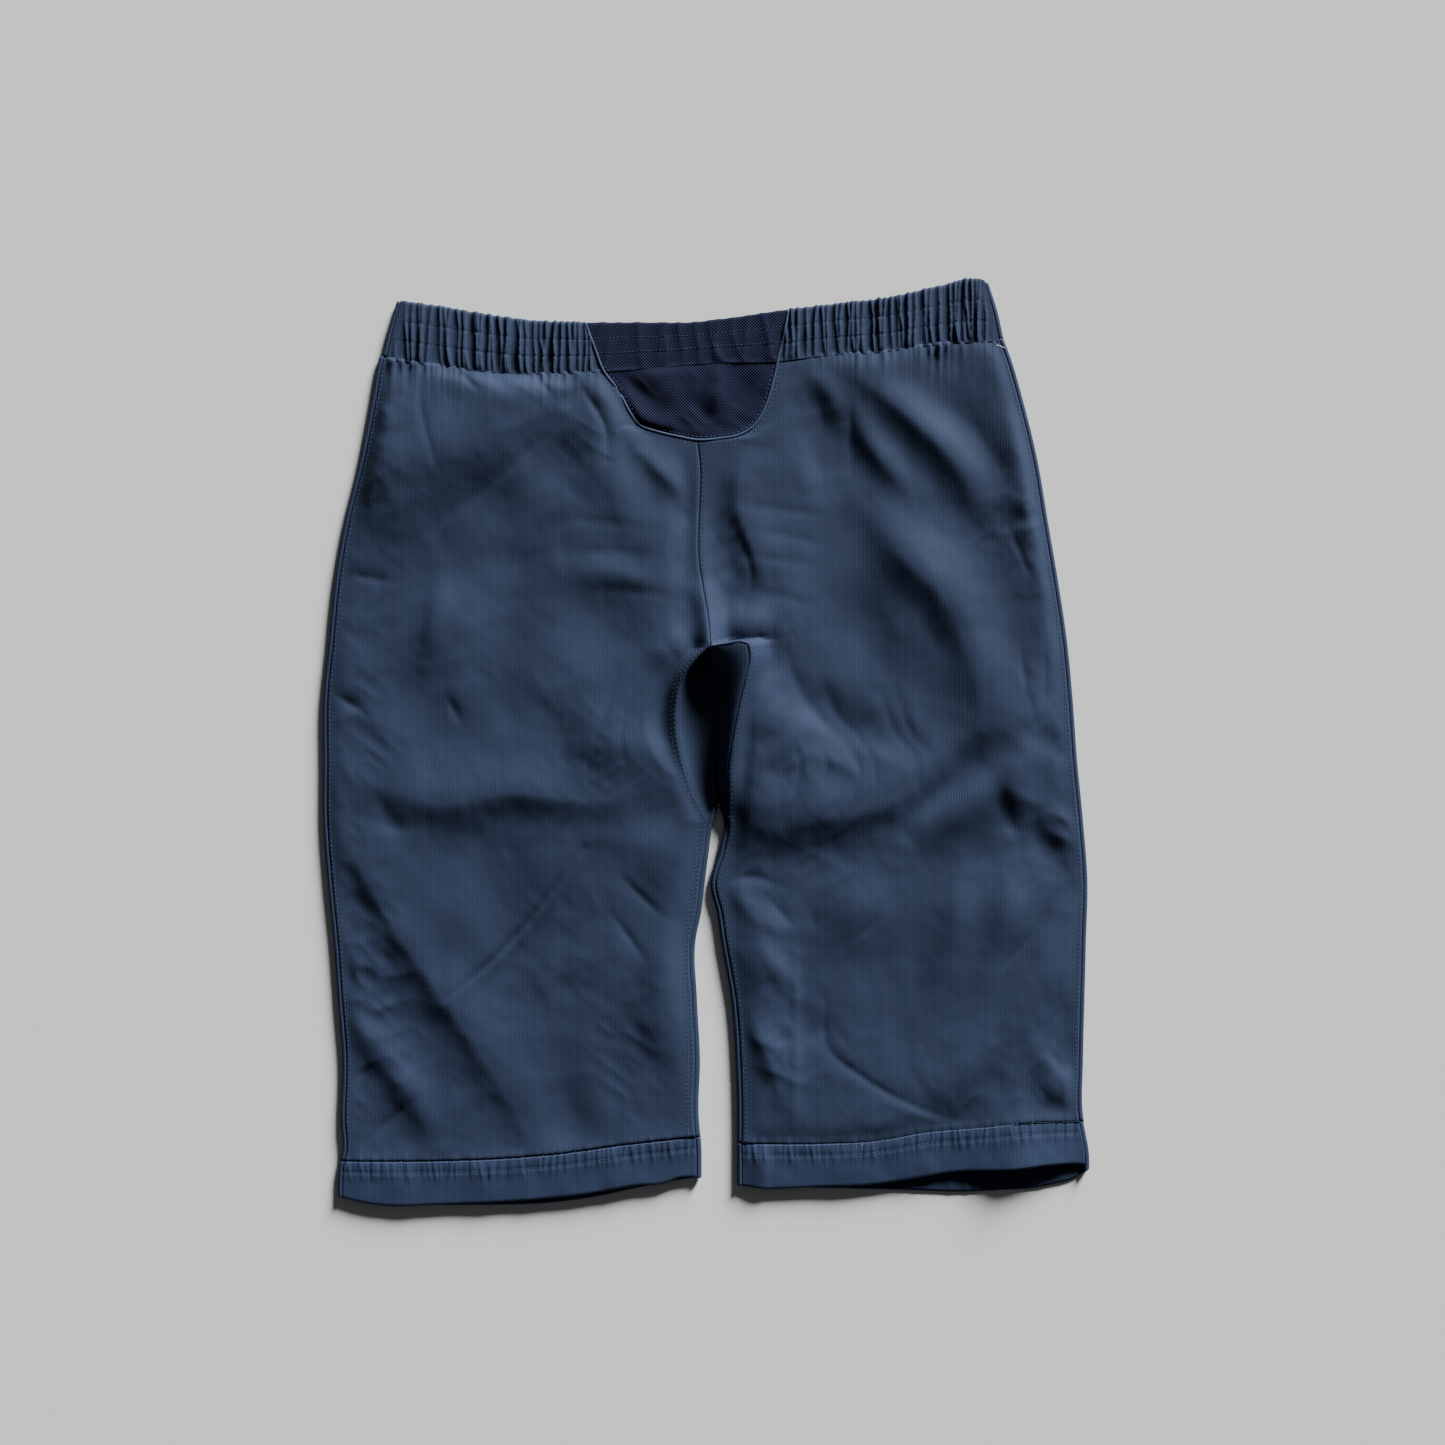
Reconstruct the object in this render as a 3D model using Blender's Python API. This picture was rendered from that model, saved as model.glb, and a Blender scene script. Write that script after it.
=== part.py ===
"""Track capri pants laid flat with the back side up.

Millimetres in the tables, metres in the scene. X runs across the legs, +Y towards the waist and +Z up.
The front of the pants lies on the ground, and its side and inner edges turn up to meet the back at the seams.
"""

import math

import bpy
import numpy as np

CLOTH = 1.2  # wall of the panels, the yoke and the waistband
HEM_CLOTH = 1.5  # the hem is turned up, so it is thicker
GAP = 0.15  # each piece stops this far short of its seam line
EDGE_RADIUS = 2.4  # outer radius of the turn at the side of a leg
EDGE_TOP = 2 * EDGE_RADIUS
SIDE_SEAM = 3.5  # from the edge of the leg to the side seam and to the inseam
BACK_REST = 5.4  # top of the back cloth where it lies flat
BAND_REST = 6.1  # top of the gathered waistband, in the middle of its waves
BAND_TOP_DROP = 0.8  # how far the front edge of the waist lies behind the back edge

BACK_COLUMNS = 15
FLOOR_COLUMNS = 4
LEAF_COLUMNS = 4
ROW_CORNER, ROW_POINT, ROW_CROTCH, ROW_FOLD, ROW_HEM = 4, 10, 16, 24, 34
ROWS = np.arange(ROW_HEM + 1)
TURN_ANGLES = [math.radians(a) for a in (90, 45, 0, -45, -90)]

# The waistband, as (x, y) along its two edges.
BAND_TOP = [(-210, 299), (-181, 295), (-147, 289), (-113, 285), (-79, 284), (-45, 284), (-11, 284),
            (23, 288), (57, 293), (91, 297), (125, 301), (159, 309), (186, 313), (192, 311)]
BAND_LOW = [(-220, 261), (-169, 254), (-118, 250), (-86, 251), (-70, 252), (-31, 255), (6, 258),
            (49, 259), (82, 263), (116, 265), (154, 270), (202, 273)]
BAND_ENDS = {"left": [(-210, 299), (-216, 279), (-220, 261)], "right": [(192, 311), (198, 292), (202, 273)]}
MESH_BAND = {"top": (-82, 56), "low": (-70, 49)}
GATHERS = {"back_left": 20, "back_mesh": 6, "back_right": 22, "front": 44}

# The outline of each leg, as (y, x).
SIDE = {
    "left": [(300, -209), (259, -222), (232, -227), (191, -235), (150, -245), (109, -252), (69, -256),
             (28, -260), (-13, -260), (-54, -260), (-95, -257), (-135, -253), (-176, -250), (-217, -247),
             (-258, -248), (-278, -247), (-288, -249), (-310, -250)],
    "right": [(312, 191), (272, 202), (259, 207), (232, 215), (191, 225), (150, 232), (109, 239), (69, 245),
              (28, 249), (-13, 252), (-54, 256), (-95, 259), (-135, 258), (-176, 257), (-217, 256),
              (-256, 256), (-278, 260), (-300, 260)],
}
INNER = {
    "left": [(-44, 8.35), (-54, 5), (-75, 2), (-98, -1), (-115, -3), (-135, -7), (-176, -6), (-217, -4),
             (-251, -5), (-278, -3), (-300, -3)],
    "right": [(-44, 8.65), (-54, 12), (-74, 9), (-98, 3), (-115, 7), (-135, 10), (-176, 17), (-217, 20),
              (-251, 21), (-278, 21), (-305, 21)],
}
# Height on the leg of each row of the grid, at the side seam.
SIDE_ROWS = {"left": [(0, 260), (4, 214), (10, 150), (16, 62), (24, -50), (34, -285)],
             "right": [(0, 272), (4, 226), (10, 176), (16, 136), (19, 98), (24, -40), (34, -260)]}

# Hem lines as (x, y): the upper row of stitches, the back edge and the front edge.
HEM = {
    "left": {"row": [(-250, -285), (-190, -285), (-135, -283), (-99, -280), (-63, -275), (0, -268)],
             "back": [(-250, -309), (-226, -314), (-175, -314), (-150, -313), (-118, -311), (-81, -307),
                      (-45, -301), (-29, -300), (-18, -296), (-3, -296)],
             "front": [(-250, -309), (-215, -314), (-181, -315), (-147, -315), (-113, -314), (-79, -310),
                       (-45, -303), (-18, -298), (-3, -296)]},
    "right": {"row": [(18, -273), (80, -273), (116, -271), (151, -265), (186, -262), (213, -259), (237, -258),
                      (260, -258)],
              "back": [(21, -301), (36, -303), (80, -302), (109, -301), (126, -299), (169, -292), (204, -290),
                       (231, -287), (254, -287), (260, -288)],
              "front": [(21, -301), (64, -303), (105, -304), (143, -305), (171, -306), (198, -305), (225, -303),
                        (239, -300), (252, -296), (260, -290)]},
}

# Seams on the back as (x, y).
YOKE_SIDE = {"left": [(-70, 252), (-59, 237), (-51, 222), (-45, 214)],
             "right": [(49, 259), (46, 245), (40, 226), (33, 214)]}
YOKE_LOW = {"left": [(-45, 214), (-34, 210), (-17, 206), (-6, 204)],
            "right": [(33, 214), (24, 208), (9, 205), (-6, 204)]}
CENTRE_BACK = [(-6, 204), (-4, 184), (-5, 150), (-5, 123), (-2, 103), (1.5, 82), (3, 64)]
INSEAM = {"left": [(3, 64), (-5.4, 55.8), (-12.2, 47), (-17, 36), (-18.6, 26), (-19, 7.5), (-14, -18),
                   (-7, -38), (1, -53)],
          "right": [(3, 64), (13, 65.5), (22, 67), (28, 65.5), (29.5, 58), (26, 40), (22, 22), (18.4, 3.4),
                    (15.5, -16), (15, -35), (14.8, -50)]}
# The front centre seam: on the ground from the waist to the fold, and back up to the crotch, as (x, y, z).
CENTRE_FRONT = [(6, 258), (3, 160), (5, 60), (8.5, -44)]
CENTRE_RISE = [(3, 62.6, 20.4), (4, 50, 14.5), (4.9, 34.7, 9), (6, 0.7, 5.2), (6.9, -24, 4.8), (8.5, -44, 4.8)]

# Heights of the seams on the back, by row of the grid.
CENTRE_HEIGHTS = [(0, 5.6), (10, 5.8), (12, 6.0), (14, 9.5), (15, 14.5), (16, 21)]
INSEAM_HEIGHTS = {"left": [(16, 21), (17, 17.5), (18, 14), (19, 11), (21, 8), (23, 6), (24, 5), (25, 4.8)],
                  "right": [(16, 21), (17, 22), (19, 22), (20, 20.5), (21, 18), (22, 14.5), (23, 9.5),
                            (24, 5.6), (25, 4.8)]}

# Folds of the back. A negative height is a crease. The widths are on the left and right of the path's way.
FOLD_COLUMNS = ("side", "start", "middle", "end", "height", "left_width", "right_width")
FOLDS = [
    ("right", (72, 252), (125, 198), (182, 140), 7.5, 16, 12),
    ("right", (206, 245), (216, 180), (222, 95), 6.5, 10, 26),
    ("right", (20, 84), (42, 22), (24, -72), 17, 62, 16),
    ("right", (222, 70), (196, 12), (112, -56), 8.5, 26, 12),
    ("right", (32, 205), (28, 165), (36, 105), 4.5, 16, 15),
    ("right", (70, -178), (104, -232), (180, -262), -2, 9, 9),
    ("right", (246, -60), (236, -110), (218, -190), 4.5, 10, 18),
    ("right", (252, -228), (234, -250), (206, -266), 4.5, 15, 12),
    ("right", (60, -120), (63, -200), (62, -268), 2.5, 18, 18),
    ("left", (0, 76), (-46, 16), (-8, -42), 11, 16, 36),
    ("left", (-30, 202), (-34, 150), (-22, 78), 4.5, 22, 40),
    ("left", (-205, -18), (-110, -26), (-26, -34), 6.5, 40, 17),
    ("left", (-252, -60), (-178, -160), (-102, -270), 6, 15, 17),
    ("left", (-240, -214), (-215, -250), (-186, -286), 3.5, 11, 12),
    ("left", (-76, -64), (-128, -116), (-184, -178), -3, 9, 8),
    ("left", (-190, 235), (-150, 180), (-105, 130), 5, 22, 26),
    ("left", (-245, 140), (-235, 60), (-240, -20), 3.5, 14, 12),
    ("left", (-70, -85), (-52, -160), (-48, -250), 2.5, 22, 22),
]


def along(points, at):
    """Places on a smooth line through the points, at fractions of its length."""
    points = np.asarray(points, float)
    length = np.concatenate([[0], np.cumsum(np.linalg.norm(np.diff(points, axis=0), axis=1))])
    slope = np.gradient(points, length, axis=0)
    where = np.asarray(at, float) * length[-1]
    i = np.clip(np.searchsorted(length, where, side="right") - 1, 0, len(length) - 2)
    step = (length[i + 1] - length[i])[:, None]
    u = (where - length[i])[:, None] / step
    start = (2 * u**3 - 3 * u**2 + 1) * points[i] + (u**3 - 2 * u**2 + u) * step * slope[i]
    return start + (3 * u**2 - 2 * u**3) * points[i + 1] + (u**3 - u**2) * step * slope[i + 1]


def graph(table, at):
    """The second column of the table at places in its first column, on a smooth line."""
    table = np.array(sorted(table), float)
    at = np.asarray(at, float)
    slope = np.gradient(table[:, 1], table[:, 0])
    i = np.clip(np.searchsorted(table[:, 0], at, side="right") - 1, 0, len(table) - 2)
    step = table[i + 1, 0] - table[i, 0]
    u = np.clip((at - table[i, 0]) / step, 0, 1)
    start = (2 * u**3 - 3 * u**2 + 1) * table[i, 1] + (u**3 - 2 * u**2 + u) * step * slope[i]
    return start + (3 * u**2 - 2 * u**3) * table[i + 1, 1] + (u**3 - u**2) * step * slope[i + 1]


def steps(table, at):
    table = np.array(table, float)
    return np.interp(at, table[:, 0], table[:, 1])


def moved(points, distance):
    """The line moved to its left by a distance, with mitred corners."""
    way = np.diff(points, axis=0)
    way /= np.linalg.norm(way, axis=1)[:, None]
    left = np.stack([-way[:, 1], way[:, 0]], axis=1)
    before = np.concatenate([left[:1], left])
    after = np.concatenate([left, left[-1:]])
    middle = before + after
    middle /= np.linalg.norm(middle, axis=1)[:, None]
    return points + distance * middle / np.maximum((middle * after).sum(axis=1), 0.5)[:, None]


def coons(left, right, top, low):
    """A grid of places between four lines that share their corners: rows from top to low."""
    rows, columns = len(left), len(top)
    v = np.linspace(0, 1, rows)[:, None, None]
    u = np.linspace(0, 1, columns)[None, :, None]
    sides = (1 - u) * left[:, None] + u * right[:, None]
    ends = (1 - v) * top[None] + v * low[None]
    corners = (1 - v) * ((1 - u) * left[0] + u * right[0]) + v * ((1 - u) * left[-1] + u * right[-1])
    return sides + ends - corners


def folds_at(side, x, y):
    """Height that the folds of one side add at each place."""
    total = np.zeros_like(x)
    t = np.linspace(0, 1, 41)
    for row in FOLDS:
        fold = dict(zip(FOLD_COLUMNS, row))
        if fold["side"] != side:
            continue
        path = along([fold["start"], fold["middle"], fold["end"]], t)
        way = np.gradient(path, axis=0)
        pace = np.linalg.norm(way, axis=1)
        way /= pace[:, None]
        far = np.stack([x, y], axis=-1)[..., None, :] - path
        near = np.argmin((far**2).sum(axis=-1), axis=-1)
        far = np.take_along_axis(far, near[..., None, None], axis=-2)[..., 0, :]
        w = way[near]
        across = w[..., 0] * far[..., 1] - w[..., 1] * far[..., 0]
        on = t[near] + (far * w).sum(axis=-1) / (pace[near] * 40)
        width = np.where(across > 0, fold["left_width"], fold["right_width"])
        fade = np.sin(math.pi * np.clip(on, 0, 1)) ** 0.7
        total += fold["height"] * fade * np.exp(-((across / width) ** 2))
    return total


def pulled(height, target, distance, reach):
    """The height eased to a seam's height within reach of the seam."""
    weight = np.exp(-((np.maximum(distance, 0) / reach) ** 2))
    return height * (1 - weight) + target * weight


def under(outer, wall, most=2.4):
    """The lower face of a top cloth, set straight down so that seams stay parallel."""
    normal = np.cross(np.gradient(outer, axis=0), np.gradient(outer, axis=1))
    upright = np.abs(normal[..., 2]) / np.linalg.norm(normal, axis=-1)
    inner = outer.copy()
    inner[..., 2] -= np.minimum(wall / np.maximum(upright, 0.2), most * wall)
    return inner


def shell(name, outer, inner, colour, used=None):
    """One closed cloth from the grids of its two faces. A place that isn't used is left out."""
    rows, columns = outer.shape[:2]
    used = np.ones((rows, columns), bool) if used is None else used
    index = np.full((rows, columns), -1)
    index[used] = np.arange(used.sum())
    count = int(used.sum())
    quads = np.stack([index[:-1, :-1], index[:-1, 1:], index[1:, 1:], index[1:, :-1]], axis=-1).reshape(-1, 4)
    quads = quads[(quads >= 0).all(axis=1)]
    sides = {}
    for quad in quads:
        for a, b in zip(quad, np.roll(quad, -1)):
            sides[(int(a), int(b))] = True
    rims = [(b, a, a + count, b + count) for a, b in sides if (b, a) not in sides]
    faces = [tuple(map(int, q)) for q in quads]
    faces += [tuple(int(i) + count for i in q[::-1]) for q in quads]
    faces += rims
    points = np.concatenate([outer[used], inner[used]]) * 0.001
    size = 0.0
    for a, b, c, d in faces:
        size += np.dot(points[a], np.cross(points[b], points[c]) + np.cross(points[c], points[d]))
    if size < 0:
        faces = [face[::-1] for face in faces]
    mesh = bpy.data.meshes.new(name)
    mesh.from_pydata(points.tolist(), [], faces)
    mesh.validate()
    piece = bpy.data.objects.new(name, mesh)
    material = bpy.data.materials.new(name)
    material.use_nodes = True
    cloth = material.node_tree.nodes["Principled BSDF"]
    cloth.inputs["Base Color"].default_value = (*colour, 1)
    cloth.inputs["Roughness"].default_value = 0.8
    mesh.materials.append(material)
    pants.objects.link(piece)


def turn(edge, inward, wall):
    """The turned edge of a leg at one row, from the seam on top to the ground, for both faces."""
    x, y = edge
    outer, inner = [], []
    seam = x + inward * (SIDE_SEAM - GAP)
    outer.append((seam, y, EDGE_TOP))
    inner.append((seam, y, EDGE_TOP - wall))
    for angle in TURN_ANGLES:
        for radius, line in ((EDGE_RADIUS, outer), (EDGE_RADIUS - wall, inner)):
            across = x + inward * (EDGE_RADIUS - radius * math.cos(angle))
            line.append((across, y, EDGE_RADIUS + radius * math.sin(angle)))
    return outer, inner


def inner_seam(side):
    """Places down the back panel's inner side: the yoke, the centre back and the inseam."""
    yoke = along(YOKE_SIDE[side], np.linspace(0, 1, ROW_CORNER + 1))
    low = along(YOKE_LOW[side], np.linspace(0, 1, ROW_POINT - ROW_CORNER + 1))
    centre = along(CENTRE_BACK, np.linspace(0, 1, ROW_CROTCH - ROW_POINT + 1))
    return np.concatenate([yoke, low[1:], centre[1:], inseam(side)[1:]])


def inseam(side):
    """Places down the inseam from the crotch to the hem."""
    sign = -1 if side == "left" else 1
    if side == "left":
        upper = along(INSEAM[side], np.linspace(0, 1, ROW_FOLD - ROW_CROTCH + 1))
    else:
        across = along(INSEAM[side][:4], np.linspace(0, 1, 4))
        upper = np.concatenate([across, along(INSEAM[side][3:], np.linspace(0, 1, 6))[1:]])
    y = np.linspace(upper[-1][1], HEM[side]["row"][0 if side == "right" else -1][1], ROW_HEM - ROW_FOLD + 1)[1:]
    lower = np.stack([graph(INNER[side], y) + sign * SIDE_SEAM, y], axis=1)
    return np.concatenate([upper, lower])


def side_line(side):
    y = steps(SIDE_ROWS[side], ROWS)
    return np.stack([graph(SIDE[side], y), y], axis=1)


def back_panel(side, colour):
    sign = -1 if side == "left" else 1
    outside = side_line(side)
    outside[:, 0] -= sign * (SIDE_SEAM + GAP)
    inside = moved(inner_seam(side), sign * GAP)
    top_x = np.linspace(outside[0, 0], inside[0, 0], BACK_COLUMNS + 1)
    low_x = np.linspace(outside[-1, 0], inside[-1, 0], BACK_COLUMNS + 1)
    top = np.stack([top_x, graph(BAND_LOW, top_x) - GAP], axis=1)
    low = np.stack([low_x, graph(HEM[side]["row"], low_x) + GAP], axis=1)
    outside[0], inside[0], outside[-1], inside[-1] = top[0], top[-1], low[0], low[-1]
    flat = coons(outside, inside, top, low)
    x, y = flat[..., 0], flat[..., 1]
    seam = np.where(ROWS <= ROW_CROTCH, steps(CENTRE_HEIGHTS, ROWS), steps(INSEAM_HEIGHTS[side], ROWS))
    z = BACK_REST + folds_at(side, x, y)
    z = np.maximum(z, 3.2)
    z = pulled(z, seam[:, None], np.hypot(x - x[:, -1:], y - y[:, -1:]), 9)
    z = pulled(z, BACK_REST, top[None, :, 1] - y, 7)
    z = pulled(z, hem_height(side, x, 0), y - low[None, :, 1], 9)
    z = pulled(z, EDGE_TOP, np.abs(x - x[:, :1]), 7)
    outer = np.dstack([x, y, z])
    shell(f"back_{side}", outer, under(outer, CLOTH), colour)


def hem_height(side, x, down):
    """Top of the hem: the right leg's back hem stands open near its outer end."""
    lift = 7.0 if side == "right" else 0.8
    middle, reach = (214, 26) if side == "right" else (-90, 50)
    return EDGE_TOP + 0.4 + lift * (0.4 + 0.6 * down) * np.exp(-(((x - middle) / reach) ** 2))


def front_panel(side, colour):
    sign = -1 if side == "left" else 1
    edge = side_line(side)
    stitched = inseam(side)
    fold_y = np.concatenate([[-44], stitched[ROW_FOLD - ROW_CROTCH + 1:, 1]])
    fold = np.stack([graph(INNER[side], fold_y), fold_y], axis=1)
    ground = along(CENTRE_FRONT, np.linspace(0, 1, ROW_FOLD + 1))
    rise = along(CENTRE_RISE, np.linspace(0, 1, ROW_FOLD - ROW_CROTCH + 1))
    open_by = GAP + EDGE_RADIUS * np.clip((np.arange(len(rise)) - 5) / 3, 0, 1) ** 2
    rise[:, 0] += sign * open_by
    leaf_seam = moved(stitched, -sign * GAP)
    heights = steps(INSEAM_HEIGHTS[side], np.arange(ROW_CROTCH, ROW_HEM + 1))
    leaf_seam[0] += 0.14 * (leaf_seam[1] - leaf_seam[0])
    heights[0] += 0.14 * (heights[1] - heights[0])
    turn_count = len(TURN_ANGLES)
    columns = turn_count + 1 + FLOOR_COLUMNS + turn_count - 1 + LEAF_COLUMNS
    outer = np.zeros((ROW_HEM + 1, columns, 3))
    inner = outer.copy()
    used = np.zeros((ROW_HEM + 1, columns), bool)
    first_leaf = columns - LEAF_COLUMNS
    for row in ROWS:
        for grid, points in zip((outer, inner), turn(edge[row], -sign, CLOTH)):
            grid[row, : turn_count + 1] = points
        start = outer[row, turn_count, :2]
        if row < ROW_FOLD:
            end = ground[row] + (sign * GAP, 0)
        else:
            end = fold[row - ROW_FOLD] + (sign * EDGE_RADIUS, 0)
        share = np.linspace(0, 1, FLOOR_COLUMNS + 1)[1:, None]
        last = turn_count + 1 + FLOOR_COLUMNS
        outer[row, turn_count + 1: last, :2] = start + share * (end - start)
        inner[row, turn_count + 1: last] = outer[row, turn_count + 1: last]
        inner[row, turn_count + 1: last, 2] = CLOTH
        used[row, :last] = True
        if row >= ROW_FOLD:
            for grid, points in zip((outer, inner), turn(fold[row - ROW_FOLD], sign, CLOTH)):
                grid[row, last: first_leaf] = points[1:-1][::-1]
            used[row] = True
    for row in range(ROW_CROTCH, ROW_HEM + 1):
        k = row - ROW_CROTCH
        begin = rise[k] if row < ROW_FOLD else outer[row, first_leaf - 1]
        share = np.linspace(0, 1, LEAF_COLUMNS + 1)
        shape = np.sin(share * math.pi / 2) if side == "right" else share**1.2
        place = begin[:2] + share[:, None] * (leaf_seam[k] - begin[:2])
        z = begin[2] + shape * (heights[k] - begin[2])
        leaf = np.concatenate([place, z[:, None]], axis=1)
        outer[row, first_leaf - 1:] = leaf
        used[row, first_leaf - 1:] = True
    lower = under(outer[ROW_CROTCH:, first_leaf - 1:], CLOTH, 1.8)
    inner[ROW_CROTCH:, first_leaf - 1:] = lower
    inner[ROW_FOLD:, first_leaf - 1] = outer[ROW_FOLD:, first_leaf - 1] - (0, 0, CLOTH)
    for grid in (outer, inner):
        grid[0, :, 1] = graph(BAND_LOW, grid[0, :, 0]) - GAP
        grid[-1, :, 1] = graph(HEM[side]["row"], grid[-1, :, 0]) + GAP
    for name, row in ((f"top_{side}", 0), (f"low_{side}", -1)):
        line = outer[row, turn_count: turn_count + 1 + FLOOR_COLUMNS, :2]
        ground_edges[name] = line[np.argsort(line[:, 0])]
    shell(f"front_{side}", outer, inner, colour, used)


def yoke(colour):
    left = moved(along(YOKE_SIDE["left"], np.linspace(0, 1, ROW_CORNER + 1)), GAP)
    right = moved(along(YOKE_SIDE["right"], np.linspace(0, 1, ROW_CORNER + 1)), -GAP)
    half = np.linspace(0, 1, ROW_POINT - ROW_CORNER + 1)
    low = np.concatenate([along(YOKE_LOW["left"], half), along(YOKE_LOW["right"], half)[::-1][1:]])
    low = moved(low, GAP)
    x = np.linspace(left[0, 0], right[0, 0], len(low))
    top = np.stack([x, graph(BAND_LOW, x) - GAP], axis=1)
    left[0], right[0], left[-1], right[-1] = top[0], top[-1], low[0], low[-1]
    flat = coons(left, right, top, low)
    outer = np.dstack([flat[..., 0], flat[..., 1], np.full(flat.shape[:2], BACK_REST + 0.1)])
    middle = np.exp(-(((outer[..., 0] + 12) / 34) ** 2) - ((outer[..., 1] - 232) / 13) ** 2)
    outer[..., 2] += 1.6 * middle
    shell("back_yoke", outer, under(outer, CLOTH), colour)


def band_ends(side, rows, inset):
    ends = along(BAND_ENDS[side], rows)
    sign = -1 if side == "left" else 1
    ends[:, 0] -= sign * inset
    return ends


def beside(name, x, way):
    """The line just past the edge of a front panel on the ground, above it or below it."""
    line = ground_edges[name]
    return np.interp(x, line[:, 0], line[:, 1]) + way * 3 * GAP


def waves(columns, gathers, rows, lift, shift):
    """Gathers across the band: a wave for each one, flatter and shifted at the rows of stitches."""
    u = np.arange(columns + 1) * gathers / columns
    height = np.zeros((len(rows), columns + 1))
    for k in range(len(rows)):
        level = lift[k] * (0.8 + 0.2 * np.sin(2.1 * u + 1.7 * k))
        height[k] = level * np.cos(2 * math.pi * (u + shift[k]))
    fade = np.clip(np.minimum(u, gathers - u) / 1.0, 0, 1)
    return height * fade


def band_back(name, gathers, left, right, colour):
    """One part of the waistband's back. left and right are the places of its ends, row by row."""
    rows = np.array([0, 1, 2, 3, 4, 5, 6]) / 6
    columns = gathers * 4
    x = left[:, :1] + (right[:, :1] - left[:, :1]) * np.linspace(0, 1, columns + 1)
    v = rows[:, None]
    y = (1 - v) * (graph(BAND_TOP, x) - 0) + v * (graph(BAND_LOW, x) + GAP)
    z = BAND_REST + waves(columns, gathers, rows, (0.5, 1.1, 0.45, 1.1, 0.45, 1.1, 0.4),
                          (0, 0, 0.25, 0.5, 0.25, 0, 0))
    for end in (BAND_ENDS["left"], BAND_ENDS["right"]):
        z = pulled(z, EDGE_TOP, np.abs(x - np.interp(v, [0, 1], [end[0][0], end[-1][0]])) - SIDE_SEAM, 6)
    outer = np.dstack([x, y, z])
    shell(name, outer, under(outer, CLOTH, 1.5), colour)


def band_front(colour):
    """The waistband's front lies on the ground, with its gathers pressed flat, and turns up at both ends."""
    rows = np.array([0, 1, 2, 3]) / 3
    columns = GATHERS["front"] * 2
    count = len(TURN_ANGLES)
    wave = 0.35 * (1 - waves(columns, GATHERS["front"], rows, (1, 1, 1, 1), (0, 0.5, 0, 0.5)))
    wave *= np.clip(np.minimum(np.arange(columns + 1), np.arange(columns + 1)[::-1]) / 4, 0, 1)
    left, right = band_ends("left", rows, 0), band_ends("right", rows, 0)
    outer = np.zeros((len(rows), 2 * (count + 1) + columns - 1, 3))
    inner = outer.copy()
    for k in range(len(rows)):
        ends = [turn(left[k], 1, CLOTH), turn(right[k], -1, CLOTH)]
        start, stop = ends[0][0][-1][0], ends[1][0][-1][0]
        x = np.linspace(start, stop, columns + 1)
        middle = np.stack([x, np.zeros_like(x), wave[k]], axis=1)
        for grid, face, wall in ((outer, 0, 0), (inner, 1, CLOTH)):
            grid[k, : count + 1] = ends[0][face]
            grid[k, -count - 1:] = ends[1][face][::-1]
            grid[k, count: columns + count + 1] = middle + (0, 0, wall)
        for grid in (outer, inner):
            across = grid[k, :, 0]
            top = graph(BAND_TOP, across) - BAND_TOP_DROP
            low = np.where(across < CENTRE_FRONT[0][0], beside("top_left", across, 1), beside("top_right", across, 1))
            grid[k, :, 1] = (1 - rows[k]) * top + rows[k] * low
    shell("waistband_front", outer, inner, colour)


def hem_back(side, colour):
    sign = -1 if side == "left" else 1
    rows = np.linspace(0, 1, 5)
    start, stop = graph(SIDE[side], [-285, -309]), graph(INNER[side], [-285, -300])
    start = start - sign * (SIDE_SEAM + GAP)
    stop = stop + sign * (SIDE_SEAM + GAP)
    x = np.linspace(0, 1, 29)[None, :] * (stop.mean() - start.mean()) + start.mean() + np.zeros((5, 1))
    v = rows[:, None]
    y = (1 - v) * (graph(HEM[side]["row"], x) - GAP) + v * graph(HEM[side]["back"], x)
    z = hem_height(side, x, v)
    for column in (0, -1):
        z = pulled(z, EDGE_TOP, np.abs(x - x[:, column:][:, :1]), 8)
    outer = np.dstack([x, y, z])
    shell(f"hem_back_{side}", outer, under(outer, HEM_CLOTH, 1.6), colour)


def hem_front(side, colour):
    sign = -1 if side == "left" else 1
    rows = np.linspace(0, 1, 4)
    count = len(TURN_ANGLES)
    start, stop = graph(SIDE[side], [-285, -309]).mean(), graph(INNER[side], [-285, -300]).mean()
    floor = 18
    outer = np.zeros((len(rows), 2 * (count + 1) + floor - 1, 3))
    inner = outer.copy()
    for k, v in enumerate(rows):
        ends = [turn((start, 0), -sign, HEM_CLOTH), turn((stop, 0), sign, HEM_CLOTH)]
        x = np.linspace(ends[0][0][-1][0], ends[1][0][-1][0], floor + 1)
        middle = np.stack([x, np.zeros_like(x), np.zeros_like(x)], axis=1)
        for grid, face, wall in ((outer, 0, 0), (inner, 1, HEM_CLOTH)):
            grid[k, : count + 1] = ends[0][face]
            grid[k, -count - 1:] = ends[1][face][::-1]
            grid[k, count: floor + count + 1] = middle + (0, 0, wall)
            across = grid[k, :, 0]
            low = graph(HEM[side]["front"], across)
            grid[k, :, 1] = (1 - v) * beside(f"low_{side}", across, -1) + v * low
    shell(f"hem_front_{side}", outer, inner, colour)


for thing in list(bpy.data.objects):
    bpy.data.objects.remove(thing, do_unlink=True)
pants = bpy.data.collections.new("track_capri_pants")
bpy.context.scene.collection.children.link(pants)
ground_edges = {}

NAVY = (0.023, 0.041, 0.077)
NAVY_HEM = (0.026, 0.043, 0.084)
MESH_NAVY = (0.012, 0.015, 0.030)

for leg in ("left", "right"):
    front_panel(leg, NAVY)
    back_panel(leg, NAVY)
    hem_front(leg, NAVY_HEM)
    hem_back(leg, NAVY_HEM)
yoke(MESH_NAVY)

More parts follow.
